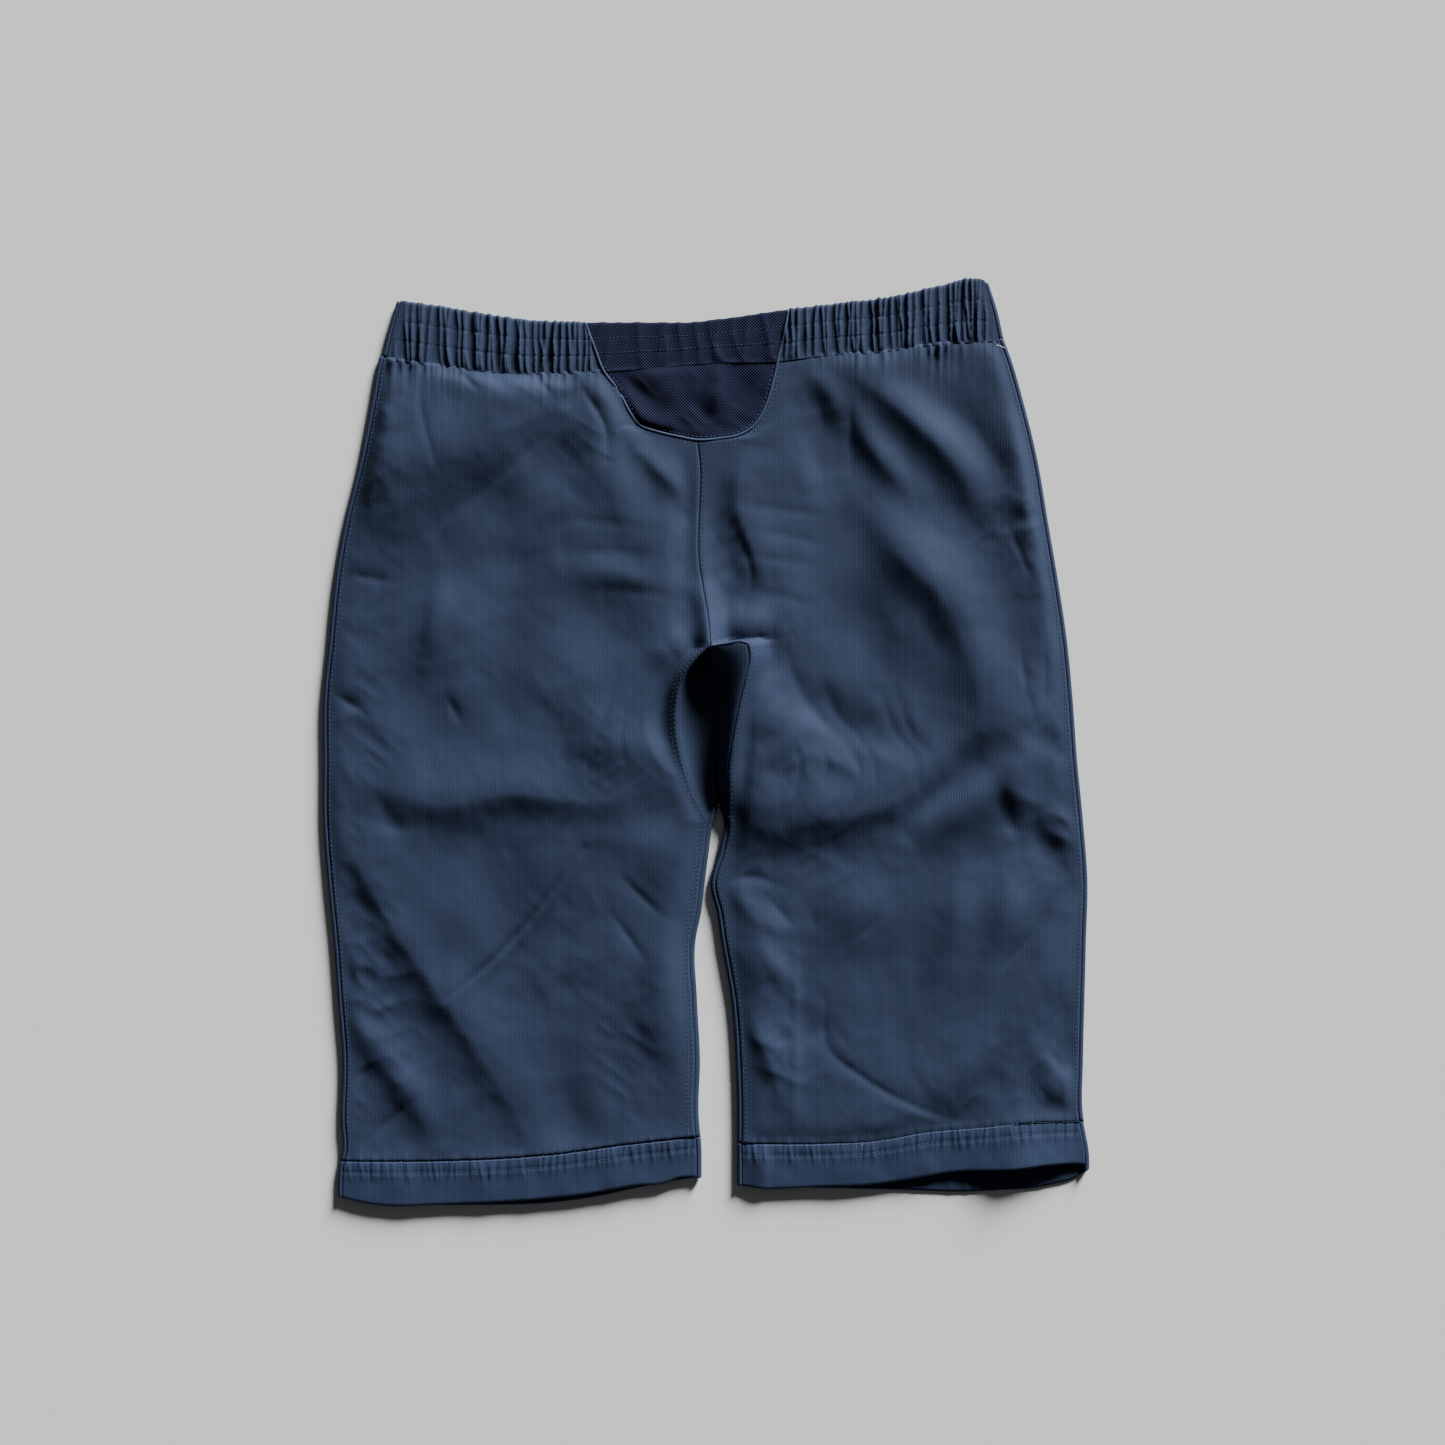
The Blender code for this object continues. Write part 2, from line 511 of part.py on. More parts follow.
band_rows = np.arange(7) / 6
slope = band_rows[:, None]
mesh_left = (1 - slope) * MESH_BAND["top"][0] + slope * MESH_BAND["low"][0]
mesh_right = (1 - slope) * MESH_BAND["top"][1] + slope * MESH_BAND["low"][1]
far_left = band_ends("left", band_rows, SIDE_SEAM + GAP)[:, :1]
far_right = band_ends("right", band_rows, SIDE_SEAM + GAP)[:, :1]
band_back("waistband_back_left", GATHERS["back_left"], far_left, mesh_left - GAP, NAVY)
band_back("waistband_back_mesh", GATHERS["back_mesh"], mesh_left + GAP, mesh_right - GAP, MESH_NAVY)
band_back("waistband_back_right", GATHERS["back_right"], mesh_right + GAP, far_right, NAVY)
band_front(NAVY)
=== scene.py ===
import math

import bmesh
import bpy
import numpy as np
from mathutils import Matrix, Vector
from mathutils.bvhtree import BVHTree


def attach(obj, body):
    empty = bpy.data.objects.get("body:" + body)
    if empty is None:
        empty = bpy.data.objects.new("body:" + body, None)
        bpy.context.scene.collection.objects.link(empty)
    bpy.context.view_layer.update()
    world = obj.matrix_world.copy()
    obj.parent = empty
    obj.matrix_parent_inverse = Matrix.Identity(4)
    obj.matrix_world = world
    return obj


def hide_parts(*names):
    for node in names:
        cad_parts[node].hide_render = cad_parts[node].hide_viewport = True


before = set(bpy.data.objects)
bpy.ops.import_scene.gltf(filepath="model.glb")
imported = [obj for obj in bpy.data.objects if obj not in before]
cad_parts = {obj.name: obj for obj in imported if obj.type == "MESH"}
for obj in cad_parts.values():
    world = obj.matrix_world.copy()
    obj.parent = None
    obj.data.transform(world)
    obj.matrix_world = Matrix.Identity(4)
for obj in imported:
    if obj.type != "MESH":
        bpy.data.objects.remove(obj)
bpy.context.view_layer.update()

# Track capri pants laid flat with the back side up.
# Tables are in millimetres, X across the legs, +Y to the waist.
seams = {
    "edgeRadius": 2.4,  # turn at the side of a leg
    "sideSeam": 3.5,  # from the edge of a leg to its seam
    "backRest": 5.4,  # top of the back cloth where it lies flat
    "bandRest": 5.9,
    "lastRow": 34,
}
edgeTop = 2 * seams["edgeRadius"]

bandTop = [(-210, 299), (-181, 295), (-147, 289), (-113, 285), (-79, 284), (-45, 284), (-11, 284),
           (23, 288), (57, 293), (91, 297), (125, 301), (159, 309), (186, 313), (192, 311)]
bandLow = [(-220, 261), (-169, 254), (-118, 250), (-86, 251), (-70, 252), (-31, 255), (6, 258),
           (49, 259), (82, 263), (116, 265), (154, 270), (202, 273)]
bandEnds = {"left": [(-210, 299), (-216, 279), (-220, 261)], "right": [(192, 311), (198, 292), (202, 273)]}
meshBand = {"top": (-82, 56), "low": (-70, 49)}

# The outline of each leg, as (y, x).
sideEdge = {
    "left": [(300, -209), (259, -222), (232, -227), (191, -235), (150, -245), (109, -252), (69, -256),
             (28, -260), (-13, -260), (-54, -260), (-95, -257), (-135, -253), (-176, -250), (-217, -247),
             (-258, -248), (-278, -247), (-288, -249), (-310, -250)],
    "right": [(312, 191), (272, 202), (259, 207), (232, 215), (191, 225), (150, 232), (109, 239), (69, 245),
              (28, 249), (-13, 252), (-54, 256), (-95, 259), (-135, 258), (-176, 257), (-217, 256),
              (-256, 256), (-278, 260), (-300, 260)],
}
innerEdge = {
    "left": [(-44, 8.35), (-54, 5), (-75, 2), (-98, -1), (-115, -3), (-135, -7), (-176, -6), (-217, -4),
             (-251, -5), (-278, -3), (-300, -3)],
    "right": [(-44, 8.65), (-54, 12), (-74, 9), (-98, 3), (-115, 7), (-135, 10), (-176, 17), (-217, 20),
              (-251, 21), (-278, 21), (-305, 21)],
}
# Height on the leg of each row of the grid, at the side seam.
sideRows = {"left": [(0, 260), (4, 214), (10, 150), (16, 62), (24, -50), (34, -285)],
            "right": [(0, 272), (4, 226), (10, 176), (16, 136), (19, 98), (24, -40), (34, -260)]}

# Hem lines as (x, y): the upper row of stitches, the back edge and the front edge.
hemLines = {
    "left": {"row": [(-250, -285), (-190, -285), (-135, -283), (-99, -280), (-63, -275), (0, -268)],
             "back": [(-250, -309), (-226, -314), (-175, -314), (-150, -313), (-118, -311), (-81, -307),
                      (-45, -301), (-29, -300), (-18, -296), (-3, -296)],
             "front": [(-250, -309), (-215, -314), (-181, -315), (-147, -315), (-113, -314), (-79, -310),
                       (-45, -303), (-18, -298), (-3, -296)]},
    "right": {"row": [(18, -273), (80, -273), (116, -271), (151, -265), (186, -262), (213, -259), (237, -258),
                      (260, -258)],
              "back": [(21, -301), (36, -303), (80, -302), (109, -301), (126, -299), (169, -292), (204, -290),
                       (231, -287), (254, -287), (260, -288)],
              "front": [(21, -301), (64, -303), (105, -304), (143, -305), (171, -306), (198, -305), (225, -303),
                        (239, -300), (252, -296), (260, -290)]},
}

yokeSide = {"left": [(-70, 252), (-59, 237), (-51, 222), (-45, 214)],
            "right": [(49, 259), (46, 245), (40, 226), (33, 214)]}
yokeLow = {"left": [(-45, 214), (-34, 210), (-17, 206), (-6, 204)],
           "right": [(33, 214), (24, 208), (9, 205), (-6, 204)]}
centreBack = [(-6, 204), (-4, 184), (-5, 150), (-5, 123), (-2, 103), (1.5, 82), (3, 64)]
inseamLine = {"left": [(3, 64), (-5.4, 55.8), (-12.2, 47), (-17, 36), (-18.6, 26), (-19, 7.5), (-14, -18),
                       (-7, -38), (1, -53)],
              "right": [(3, 64), (13, 65.5), (22, 67), (28, 65.5), (29.5, 58), (26, 40), (22, 22), (18.4, 3.4),
                        (15.5, -16), (15, -35), (14.8, -50)]}
# The front centre seam: on the ground from the waist to the fold, and back up to the crotch, as (x, y, z).
centreFront = [(6, 258), (3, 160), (5, 60), (8.5, -44)]
centreRise = [(3, 62.6, 23.4), (4, 50, 14.5), (4.9, 34.7, 9), (6, 0.7, 5.2), (6.9, -24, 4.8), (8.5, -44, 4.8)]
centreHeights = [(0, 5.6), (10, 5.8), (12, 6.0), (14, 9.5), (15, 15.5), (16, 24)]
inseamHeights = {"left": [(16, 24), (17, 20.5), (18, 17), (19, 14.5), (21, 11), (23, 7.5), (24, 5.4), (25, 4.8)],
                 "right": [(16, 24), (17, 25.5), (19, 26), (20, 25.5), (21, 23.5), (22, 20), (23, 14.5),
                           (24, 7), (25, 5)]}

# Folds of the back: height, width on the left and on the right of the way it runs, crispness, then its line.
backFolds = {
    "left": [
        (3.5, 22, 26, 0.1, (-70, 216), (-74, 180), (-88, 130), (-120, 88)),
        (5.0, 26, 12, 0.4, (-257, -38), (-212, -123), (-157, -202), (-116, -270)),
        (4, 12, 10, 0.2, (-240, -191), (-214, -221), (-191, -255), (-184, -274)),
        (-3, 14, 16, 0.2, (-98, -226), (-95, -250), (-92, -276)),
        (7.5, 30, 15, 0.2, (-221, -28), (-182, -41), (-130, -33), (-80, -39), (-24, -28)),
        (2.5, 30, 14, 0.1, (-135, 8), (-90, 2), (-45, -4)),
        (8.5, 10, 44, 0.3, (-3, 73), (-30, 46), (-43, 10), (-34, -14), (-12, -34)),
        (5, 14, 22, 0.2, (-31, 165), (-29, 110), (-28, 66)),
        (-2.5, 5, 6, 0.3, (-13, 188), (-9.5, 158), (-7.6, 120)),
        (3, 12, 14, 0.1, (-60, 190), (-57, 165), (-50, 138)),
        (3.5, 10, 6, 0.5, (-49, 201), (-30, 181), (-11, 161)),
        (2.5, 9, 10, 0.2, (-95, 114), (-60, 113), (-28, 104)),
        (3, 10, 8, 0.2, (-178, 118), (-181, 89), (-190, 55)),
        (-1.1, 3, 3, 0.85, (-247, 113), (-210, 108)),
        (-1.1, 3, 3, 0.85, (-255, 34), (-228, 17)),
        (-1.1, 3, 3, 0.85, (-175, 30), (-166, 13)),
        (-1.5, 11, 11, 0, (-140, 124), (-130, 122)),
        (4, 8, 45, 0.1, (-172, 243), (-130, 240), (-88, 238)),
        (-2.2, 3, 3, 0.65, (-170, 253), (-154, 238)),
        (-2.2, 5, 5, 0.4, (-148, 249), (-131, 238)),
        (-2.2, 3, 3, 0.65, (-116, 249), (-105, 234)),
        (-2.5, 8, 8, 0.3, (-99, 247), (-88, 238), (-100, 225)),
        (-1.4, 3, 3, 0.75, (-86, 243), (-67, 207), (-67, 190)),
        (4.0, 10, 10, 0, (-24, 60), (-10, 71)),
        (3, 18, 22, 0, (-216, 252), (-218, 210), (-216, 168)),
        (2.5, 26, 22, 0, (-150, 66), (-122, 54), (-98, 40)),
        (3.0, 4.5, 20, 0.6, (-78, -68), (-93, -89), (-123, -127), (-148, -153), (-178, -177)),
        (-2.4, 2.5, 3, 0.7, (-82, -72), (-95, -90), (-124, -127), (-148, -152), (-176, -175)),
        (3.6, 20, 60, 0.1, (-150, -62), (-100, -68), (-40, -74)),
        (7.5, 30, 32, 0.2, (-104, 250), (-146, 214), (-200, 180), (-236, 142)),
        (-1.0, 5, 9, 0.8, (-78, 232), (-120, 196), (-154, 167), (-204, 133)),
        (4, 22, 14, 0.1, (-25, -119), (-29, -170), (-27, -204)),
        (-1.1, 3, 3, 0.75, (-56, -93), (-44, -105), (-31, -118)),
        (-1.1, 3, 3, 0.75, (-63, -118), (-52, -133), (-42, -148)),
        (-1.1, 3, 3, 0.75, (-231, -272), (-197, -242)),
        (-1.1, 3, 3, 0.75, (-240, -231), (-223, -217)),
        (-0.6, 2, 2, 0.75, (-99, 150), (-62, 147), (-30, 142)),
        (-0.6, 2, 2, 0.75, (-97, 127), (-60, 128), (-29, 123)),
        (-0.6, 2, 2, 0.75, (-78, 102), (-46, 101), (-17, 96)),
        (-0.8, 3, 3, 0.55, (-194, 236), (-189, 210), (-181, 184)),
        (-0.8, 3, 3, 0.75, (-58, 48), (-68, 19), (-80, -18)),
        (-0.8, 3, 3, 0.75, (-44, 32), (-56, 12), (-56, -12)),
        (-1.1, 6, 6, 0.3, (-228, -34), (-216, -48), (-206, -60)),
        (-1.0, 7, 5, 0.3, (-226, -52), (-214, -58), (-200, -57)),
    ],
    "right": [
        (7.5, 18, 12, 0.3, (99, 252), (142, 217), (169, 190), (183, 164)),
        (-4.5, 14, 14, 0.1, (74, 222), (78, 200), (82, 176)),
        (-5, 14, 16, 0.2, (138, 240), (168, 218), (196, 184), (204, 150)),
        (4.5, 16, 18, 0.1, (232, 60), (214, 18), (178, -4), (142, -26)),
        (4, 10, 8, 0.2, (99, 227), (115, 196), (138, 168)),
        (2.5, 9, 8, 0.3, (68, 254), (84, 235), (90, 215)),
        (-1.1, 3, 3, 0.75, (78, 229), (79, 203), (78, 178)),
        (-1.1, 3, 3, 0.75, (98, 231), (98, 206), (98, 182)),
        (8, 20, 16, 0.1, (107, 164), (134, 127), (160, 100), (177, 69), (187, 36), (193, 12)),
        (7, 9, 26, 0.1, (197, 268), (214, 211), (222, 170), (232, 110), (240, 60)),
        (-1.1, 3, 3, 0.75, (206, 143), (213, 126), (220, 108)),
        (-1.1, 3, 3, 0.75, (212, 65), (215, 46), (218, 28)),
        (-1.1, 3, 3, 0.75, (230, 65), (230, 47), (229, 30)),
        (6, 22, 10, 0.2, (29, 201), (23, 162), (33, 124), (33, 92)),
        (-1.4, 3, 3, 0.65, (19, 145), (31, 110), (25, 88)),
        (2.5, 9, 9, 0.1, (39, 79), (54, 94), (66, 124)),
        (9.5, 34, 12, 0.4, (29, 66), (34, 40), (35, 0), (33, -20)),
        (4.5, 20, 10, 0.3, (34, -20), (31, -50), (25, -91)),
        (6.0, 12, 12, 0, (8, 76), (26, 77), (46, 74)),
        (-4, 14, 14, 0.1, (29, 67), (50, 46), (68, 28), (99, 8), (128, 1), (154, -3)),
        (6.5, 35, 14, 0.2, (53, -57), (96, -48), (130, -38), (157, -21)),
        (-6, 12, 12, 0.2, (136, -59), (165, -30), (190, 5)),
        (7, 12, 18, 0.2, (136, -64), (181, -38), (219, -8)),
        (4, 12, 10, 0.2, (219, 5), (208, -30), (204, -60)),
        (-3, 7, 7, 0.3, (198, -33), (204, -50), (211, -67)),
        (-3, 9, 9, 0.3, (221, -53), (232, -76), (243, -99)),
        (3, 10, 9, 0.3, (204, -84), (202, -119), (187, -153)),
        (2.5, 10, 9, 0.3, (172, -93), (168, -127), (155, -157)),
        (5, 14, 14, 0.2, (240, -119), (221, -170), (194, -206), (166, -238)),
        (-1.4, 3, 3, 0.75, (238, -102), (221, -131), (202, -153)),
        (-1.3, 3, 3, 0.9, (81, -176), (82, -206), (108, -229), (138, -246), (170, -258)),
        (0.8, 3, 3, 0.3, (60, -127), (61, -194), (60, -261)),
        (4, 16, 8, 0.2, (19, -178), (38, -204), (55, -246)),
        (2.5, 8, 8, 0.3, (17, -99), (32, -119), (59, -131)),
        (2.5, 8, 8, 0.3, (32, -130), (45, -150), (60, -172)),
        (-0.9, 3, 4, 0.6, (6, -98), (28, -92), (58, -101)),
        (3, 9, 9, 0.2, (217, -200), (234, -221), (251, -238)),
        (4, 12, 12, 0, (240, -238), (246, -238)),
        (-0.75, 2, 2, 0.75, (59, 1), (64, -16), (57, -40)),
        (-0.75, 2, 2, 0.75, (74, -1), (82, -16), (74, -40)),
        (-0.75, 2, 2, 0.75, (93, 1), (104, -21), (96, -40)),
        (-0.8, 3, 3, 0.75, (53, 62), (68, 26), (86, 7), (101, -4)),
        (-0.8, 3, 3, 0.75, (77, 46), (89, 17), (105, 1), (114, -16), (114, -27)),
        (-0.8, 3, 3, 0.75, (118, 34), (129, 5), (141, -10), (143, -23)),
        (-0.8, 3, 3, 0.75, (129, 31), (143, 0), (152, -8)),
        (-0.6, 2, 2, 0.75, (20, 160), (50, 157), (82, 152)),
        (-0.6, 2, 2, 0.75, (30, 143), (54, 139), (79, 133)),
        (-0.6, 2, 2, 0.75, (18, 126), (46, 123), (73, 118)),
        (-0.6, 2, 2, 0.75, (27, 101), (50, 98), (74, 91)),
        (-0.8, 3, 3, 0.75, (38, -102), (50, -115), (61, -127)),
        (-0.8, 3, 3, 0.75, (72, -114), (73, -123), (71, -131)),
        (-0.8, 3, 3, 0.75, (100, -134), (110, -127), (117, -117)),
    ],
}



def along(points, at):
    points = np.asarray(points, float)
    length = np.concatenate([[0], np.cumsum(np.linalg.norm(np.diff(points, axis=0), axis=1))])
    slope = np.gradient(points, length, axis=0)
    where = np.asarray(at, float) * length[-1]
    i = np.clip(np.searchsorted(length, where, side="right") - 1, 0, len(length) - 2)
    step = (length[i + 1] - length[i])[:, None]
    u = (where - length[i])[:, None] / step
    start = (2 * u**3 - 3 * u**2 + 1) * points[i] + (u**3 - 2 * u**2 + u) * step * slope[i]
    return start + (3 * u**2 - 2 * u**3) * points[i + 1] + (u**3 - u**2) * step * slope[i + 1]


def graph(table, at):
    table = np.array(sorted(table), float)
    at = np.asarray(at, float)
    slope = np.gradient(table[:, 1], table[:, 0])
    i = np.clip(np.searchsorted(table[:, 0], at, side="right") - 1, 0, len(table) - 2)
    step = table[i + 1, 0] - table[i, 0]
    u = np.clip((at - table[i, 0]) / step, 0, 1)
    start = (2 * u**3 - 3 * u**2 + 1) * table[i, 1] + (u**3 - 2 * u**2 + u) * step * slope[i]
    return start + (3 * u**2 - 2 * u**3) * table[i + 1, 1] + (u**3 - u**2) * step * slope[i + 1]


def steps(table, at):
    table = np.array(table, float)
    return np.interp(at, table[:, 0], table[:, 1])


def moved(points, distance):
    way = np.diff(points, axis=0)
    way /= np.maximum(np.linalg.norm(way, axis=1), 1e-9)[:, None]
    left = np.stack([-way[:, 1], way[:, 0]], axis=1)
    before = np.concatenate([left[:1], left])
    after = np.concatenate([left, left[-1:]])
    middle = before + after
    middle /= np.linalg.norm(middle, axis=1)[:, None]
    return points + distance * middle / np.maximum((middle * after).sum(axis=1), 0.5)[:, None]


def coons(left, right, top, low, share):
    v = share[:, None, None]
    u = np.linspace(0, 1, len(top))[None, :, None]
    sides = (1 - u) * left[:, None] + u * right[:, None]
    ends = (1 - v) * top[None] + v * low[None]
    corners = (1 - v) * ((1 - u) * left[0] + u * right[0]) + v * ((1 - u) * left[-1] + u * right[-1])
    return sides + ends - corners


def foldHeight(x, y, folds):
    total = np.zeros_like(x)
    for height, leftWidth, rightWidth, crisp, *points in folds:
        path = along(points, np.linspace(0, 1, 25))
        reach = (2.6 + 1.4 * crisp) * max(leftWidth, rightWidth)
        near = (x > path[:, 0].min() - reach) & (x < path[:, 0].max() + reach)
        near &= (y > path[:, 1].min() - reach) & (y < path[:, 1].max() + reach)
        place = np.stack([x[near], y[near]], axis=-1)[:, None, :]
        way = np.diff(path, axis=0)
        pace = np.linalg.norm(way, axis=1)
        way /= pace[:, None]
        far = place - path[:-1]
        on = np.clip((far * way).sum(axis=-1), 0, pace)
        off = far - on[..., None] * way
        distance = np.sqrt((off**2).sum(axis=-1))
        best = np.argmin(distance, axis=1)
        row = np.arange(len(best))
        off, distance, w = off[row, best], distance[row, best], way[best]
        turned = (w[:, 0] * off[:, 1] - w[:, 1] * off[:, 0]) / np.maximum(distance, 1e-6)
        width = 0.5 * (leftWidth + rightWidth) + 0.5 * turned * (leftWidth - rightWidth)
        t = (best + on[row, best] / pace[best]) / len(pace)
        taper = 0.7 * min(1, pace.sum() / (4 * max(leftWidth, rightWidth)))
        share = 1 - taper + taper * (0.5 - 0.5 * np.cos(2 * math.pi * t)) ** 0.6
        d = np.sqrt((distance / width) ** 2 + 0.02) - 0.14
        total[near] += height * share * np.exp(-(np.maximum(d, 0) ** (1.75 - 0.7 * crisp)))
    return total


def ripple(x, y, size, seed):
    chance = np.random.default_rng(seed)
    lattice = chance.normal(0, 1, (240, 240))
    u, v = x / size[0] + 119, y / size[1] + 119
    i, j = np.floor(u).astype(int), np.floor(v).astype(int)
    a, b = u - i, v - j
    a, b = a * a * (3 - 2 * a), b * b * (3 - 2 * b)
    return ((1 - a) * (1 - b) * lattice[i, j] + a * (1 - b) * lattice[i + 1, j]
            + (1 - a) * b * lattice[i, j + 1] + a * b * lattice[i + 1, j + 1])


def crumple(x, y, size, turn, seed):
    # Small ridges with a sharp line, longer along one way of the cloth.
    c, s = math.cos(math.radians(turn)), math.sin(math.radians(turn))
    return 0.45 - np.abs(ripple(c * x + s * y, c * y - s * x, size, seed))


def pulled(height, target, distance, reach):
    weight = np.exp(-((np.maximum(distance, 0) / reach) ** 2))
    return height * (1 - weight) + target * weight


def softFloor(height, least, blend):
    over = height - least
    return least + 0.5 * (over + np.sqrt(over**2 + blend**2))


def toLinear(code):
    parts = [int(code[i: i + 2], 16) / 255 for i in (1, 3, 5)]
    return [p / 12.92 if p <= 0.04045 else ((p + 0.055) / 1.055) ** 2.4 for p in parts] + [1.0]


def addNode(material, kind, links=(), **settings):
    node = material.node_tree.nodes.new(kind)
    for name, value in settings.items():
        setattr(node, name, value)
    for socket, value in links:
        if isinstance(value, bpy.types.NodeSocket):
            material.node_tree.links.new(value, node.inputs[socket])
        else:
            node.inputs[socket].default_value = value
    return node


def math2(material, operation, first, second=0.0, third=0.0):
    values = ((0, first), (1, second), (2, third))
    return addNode(material, "ShaderNodeMath", values, operation=operation).outputs[0]


def startMaterial(name):
    material = bpy.data.materials.new(name)
    material.use_nodes = True
    return material, material.node_tree.nodes["Principled BSDF"]


def clothCoordinates(material):
    clothMap = addNode(material, "ShaderNodeUVMap", uv_map="clothMap")
    split = addNode(material, "ShaderNodeSeparateXYZ", ((0, clothMap.outputs[0]),))
    return clothMap.outputs[0], split.outputs[0], split.outputs[1]


def wovenCloth(name, light, dark, ribPitch, sheen):
    # Woven polyester with fine ribs along the leg: yarns of slightly unequal tone, soft sheen.
    material, surface = startMaterial(name)
    place, across, lengthwise = clothCoordinates(material)
    rib = math2(material, "SINE", math2(material, "MULTIPLY", across, 2 * math.pi / (ribPitch * 0.001)))
    pick = math2(material, "SINE", math2(material, "MULTIPLY", lengthwise, 2 * math.pi / 0.0009))
    fibre = addNode(material, "ShaderNodeTexNoise", (("Vector", place), ("Scale", 1400.0), ("Detail", 2.0)))
    cloudy = addNode(material, "ShaderNodeTexNoise", (("Vector", place), ("Scale", 45.0), ("Detail", 3.0)))
    yarn = math2(material, "MULTIPLY_ADD", fibre.outputs[0], 0.7, 0.0)
    yarn = math2(material, "MULTIPLY_ADD", rib, 0.16, yarn)
    tone = math2(material, "MULTIPLY_ADD", cloudy.outputs[0], 0.35, yarn)
    mix = addNode(material, "ShaderNodeMix", (("Factor", tone), (6, toLinear(dark)), (7, toLinear(light))),
                  data_type="RGBA")
    relief = math2(material, "MULTIPLY_ADD", pick, 0.15, fibre.outputs[0])
    relief = math2(material, "MULTIPLY_ADD", rib, 0.5, relief)
    bump = addNode(material, "ShaderNodeBump", (("Height", relief), ("Distance", 0.00009), ("Strength", 0.6)))
    links = material.node_tree.links
    links.new(mix.outputs[2], surface.inputs["Base Color"])
    links.new(bump.outputs[0], surface.inputs["Normal"])
    surface.inputs["Roughness"].default_value = 0.75
    surface.inputs["Specular IOR Level"].default_value = 0.15
    surface.inputs["Sheen Weight"].default_value = sheen
    surface.inputs["Sheen Roughness"].default_value = 0.4
    surface.inputs["Sheen Tint"].default_value = toLinear("#5f7fb4")
    return material


def meshKnit(name, light, dark):
    # Polyester mesh knit: staggered small holes between ribs.
    material, surface = startMaterial(name)
    place, across, lengthwise = clothCoordinates(material)
    a = math2(material, "SINE", math2(material, "MULTIPLY", across, 2 * math.pi / 0.0021))
    b = math2(material, "SINE", math2(material, "MULTIPLY", lengthwise, 2 * math.pi / 0.0021))
    holes = math2(material, "MULTIPLY", a, b)
    tone = math2(material, "MULTIPLY_ADD", holes, 0.5, 0.5)
    mix = addNode(material, "ShaderNodeMix", (("Factor", tone), (6, toLinear(dark)), (7, toLinear(light))),
                  data_type="RGBA")
    bump = addNode(material, "ShaderNodeBump", (("Height", holes), ("Distance", 0.0003), ("Strength", 0.9)))
    links = material.node_tree.links
    links.new(mix.outputs[2], surface.inputs["Base Color"])
    links.new(bump.outputs[0], surface.inputs["Normal"])
    surface.inputs["Roughness"].default_value = 0.9
    surface.inputs["Specular IOR Level"].default_value = 0.08
    surface.inputs["Sheen Weight"].default_value = 0.03
    surface.inputs["Sheen Tint"].default_value = toLinear("#3d4270")
    return material


def plainThread(name, colour, roughness):
    # Spun polyester sewing thread and piping: one tone with a faint twist.
    material, surface = startMaterial(name)
    place = addNode(material, "ShaderNodeTexCoord").outputs["Object"]
    twist = addNode(material, "ShaderNodeTexNoise", (("Vector", place), ("Scale", 900.0), ("Detail", 1.0)))
    mix = addNode(material, "ShaderNodeMix", (("Factor", twist.outputs[0]), (6, toLinear(colour[0])),
                                              (7, toLinear(colour[1]))), data_type="RGBA")
    material.node_tree.links.new(mix.outputs[2], surface.inputs["Base Color"])
    surface.inputs["Roughness"].default_value = roughness
    surface.inputs["Specular IOR Level"].default_value = 0.3
    return material


def clothPiece(name, points, settings, used=None, across=None, down=None, faceUp=(0, 0), up=True):
    # The grid's places are in millimetres. across and down are the cloth's own measures for its map.
    rows, columns = points.shape[:2]
    used = np.ones((rows, columns), bool) if used is None else used
    maker = bmesh.new()
    bmesh.ops.create_grid(maker, x_segments=columns - 1, y_segments=rows - 1, size=1)
    maker.verts.ensure_lookup_table()
    order = [i for i in np.flatnonzero(~used.ravel())]
    if order:
        bmesh.ops.delete(maker, geom=[maker.verts[int(i)] for i in order], context="VERTS")
    mesh = bpy.data.meshes.new(name)
    maker.to_mesh(mesh)
    maker.free()
    place = points[used]
    mesh.vertices.foreach_set("co", (place * 0.001).ravel())
    across = points[..., 0] if across is None else across
    down = points[..., 1] if down is None else down
    sheet = np.stack([across, down], axis=-1)
    corners = np.empty(len(mesh.loops), np.int32)
    mesh.loops.foreach_get("vertex_index", corners)
    layer = mesh.uv_layers.new(name="clothMap")
    layer.data.foreach_set("uv", (sheet[used][corners] * 0.001).astype(np.float32).ravel())
    r, c = faceUp
    a, b, d = points[r, c], points[r, c + 1], points[r + 1, c]
    normal = np.cross(b - a, d - a)[2]
    # create_grid turns its faces up where the rows and columns run as +X and +Y do.
    if (normal > 0) != up:
        mesh.flip_normals()
    mesh.polygons.foreach_set("use_smooth", [True] * len(mesh.polygons))
    mesh.materials.append(settings["material"])
    piece = bpy.data.objects.new(name, mesh)
    bpy.context.scene.collection.objects.link(piece)
    if settings.get("thickness"):
        body = piece.modifiers.new("cloth", "SOLIDIFY")
        body.thickness = settings["thickness"] * 0.001
        body.offset = -1
    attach(piece, "root")
    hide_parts(*settings["nodes"])
    return piece


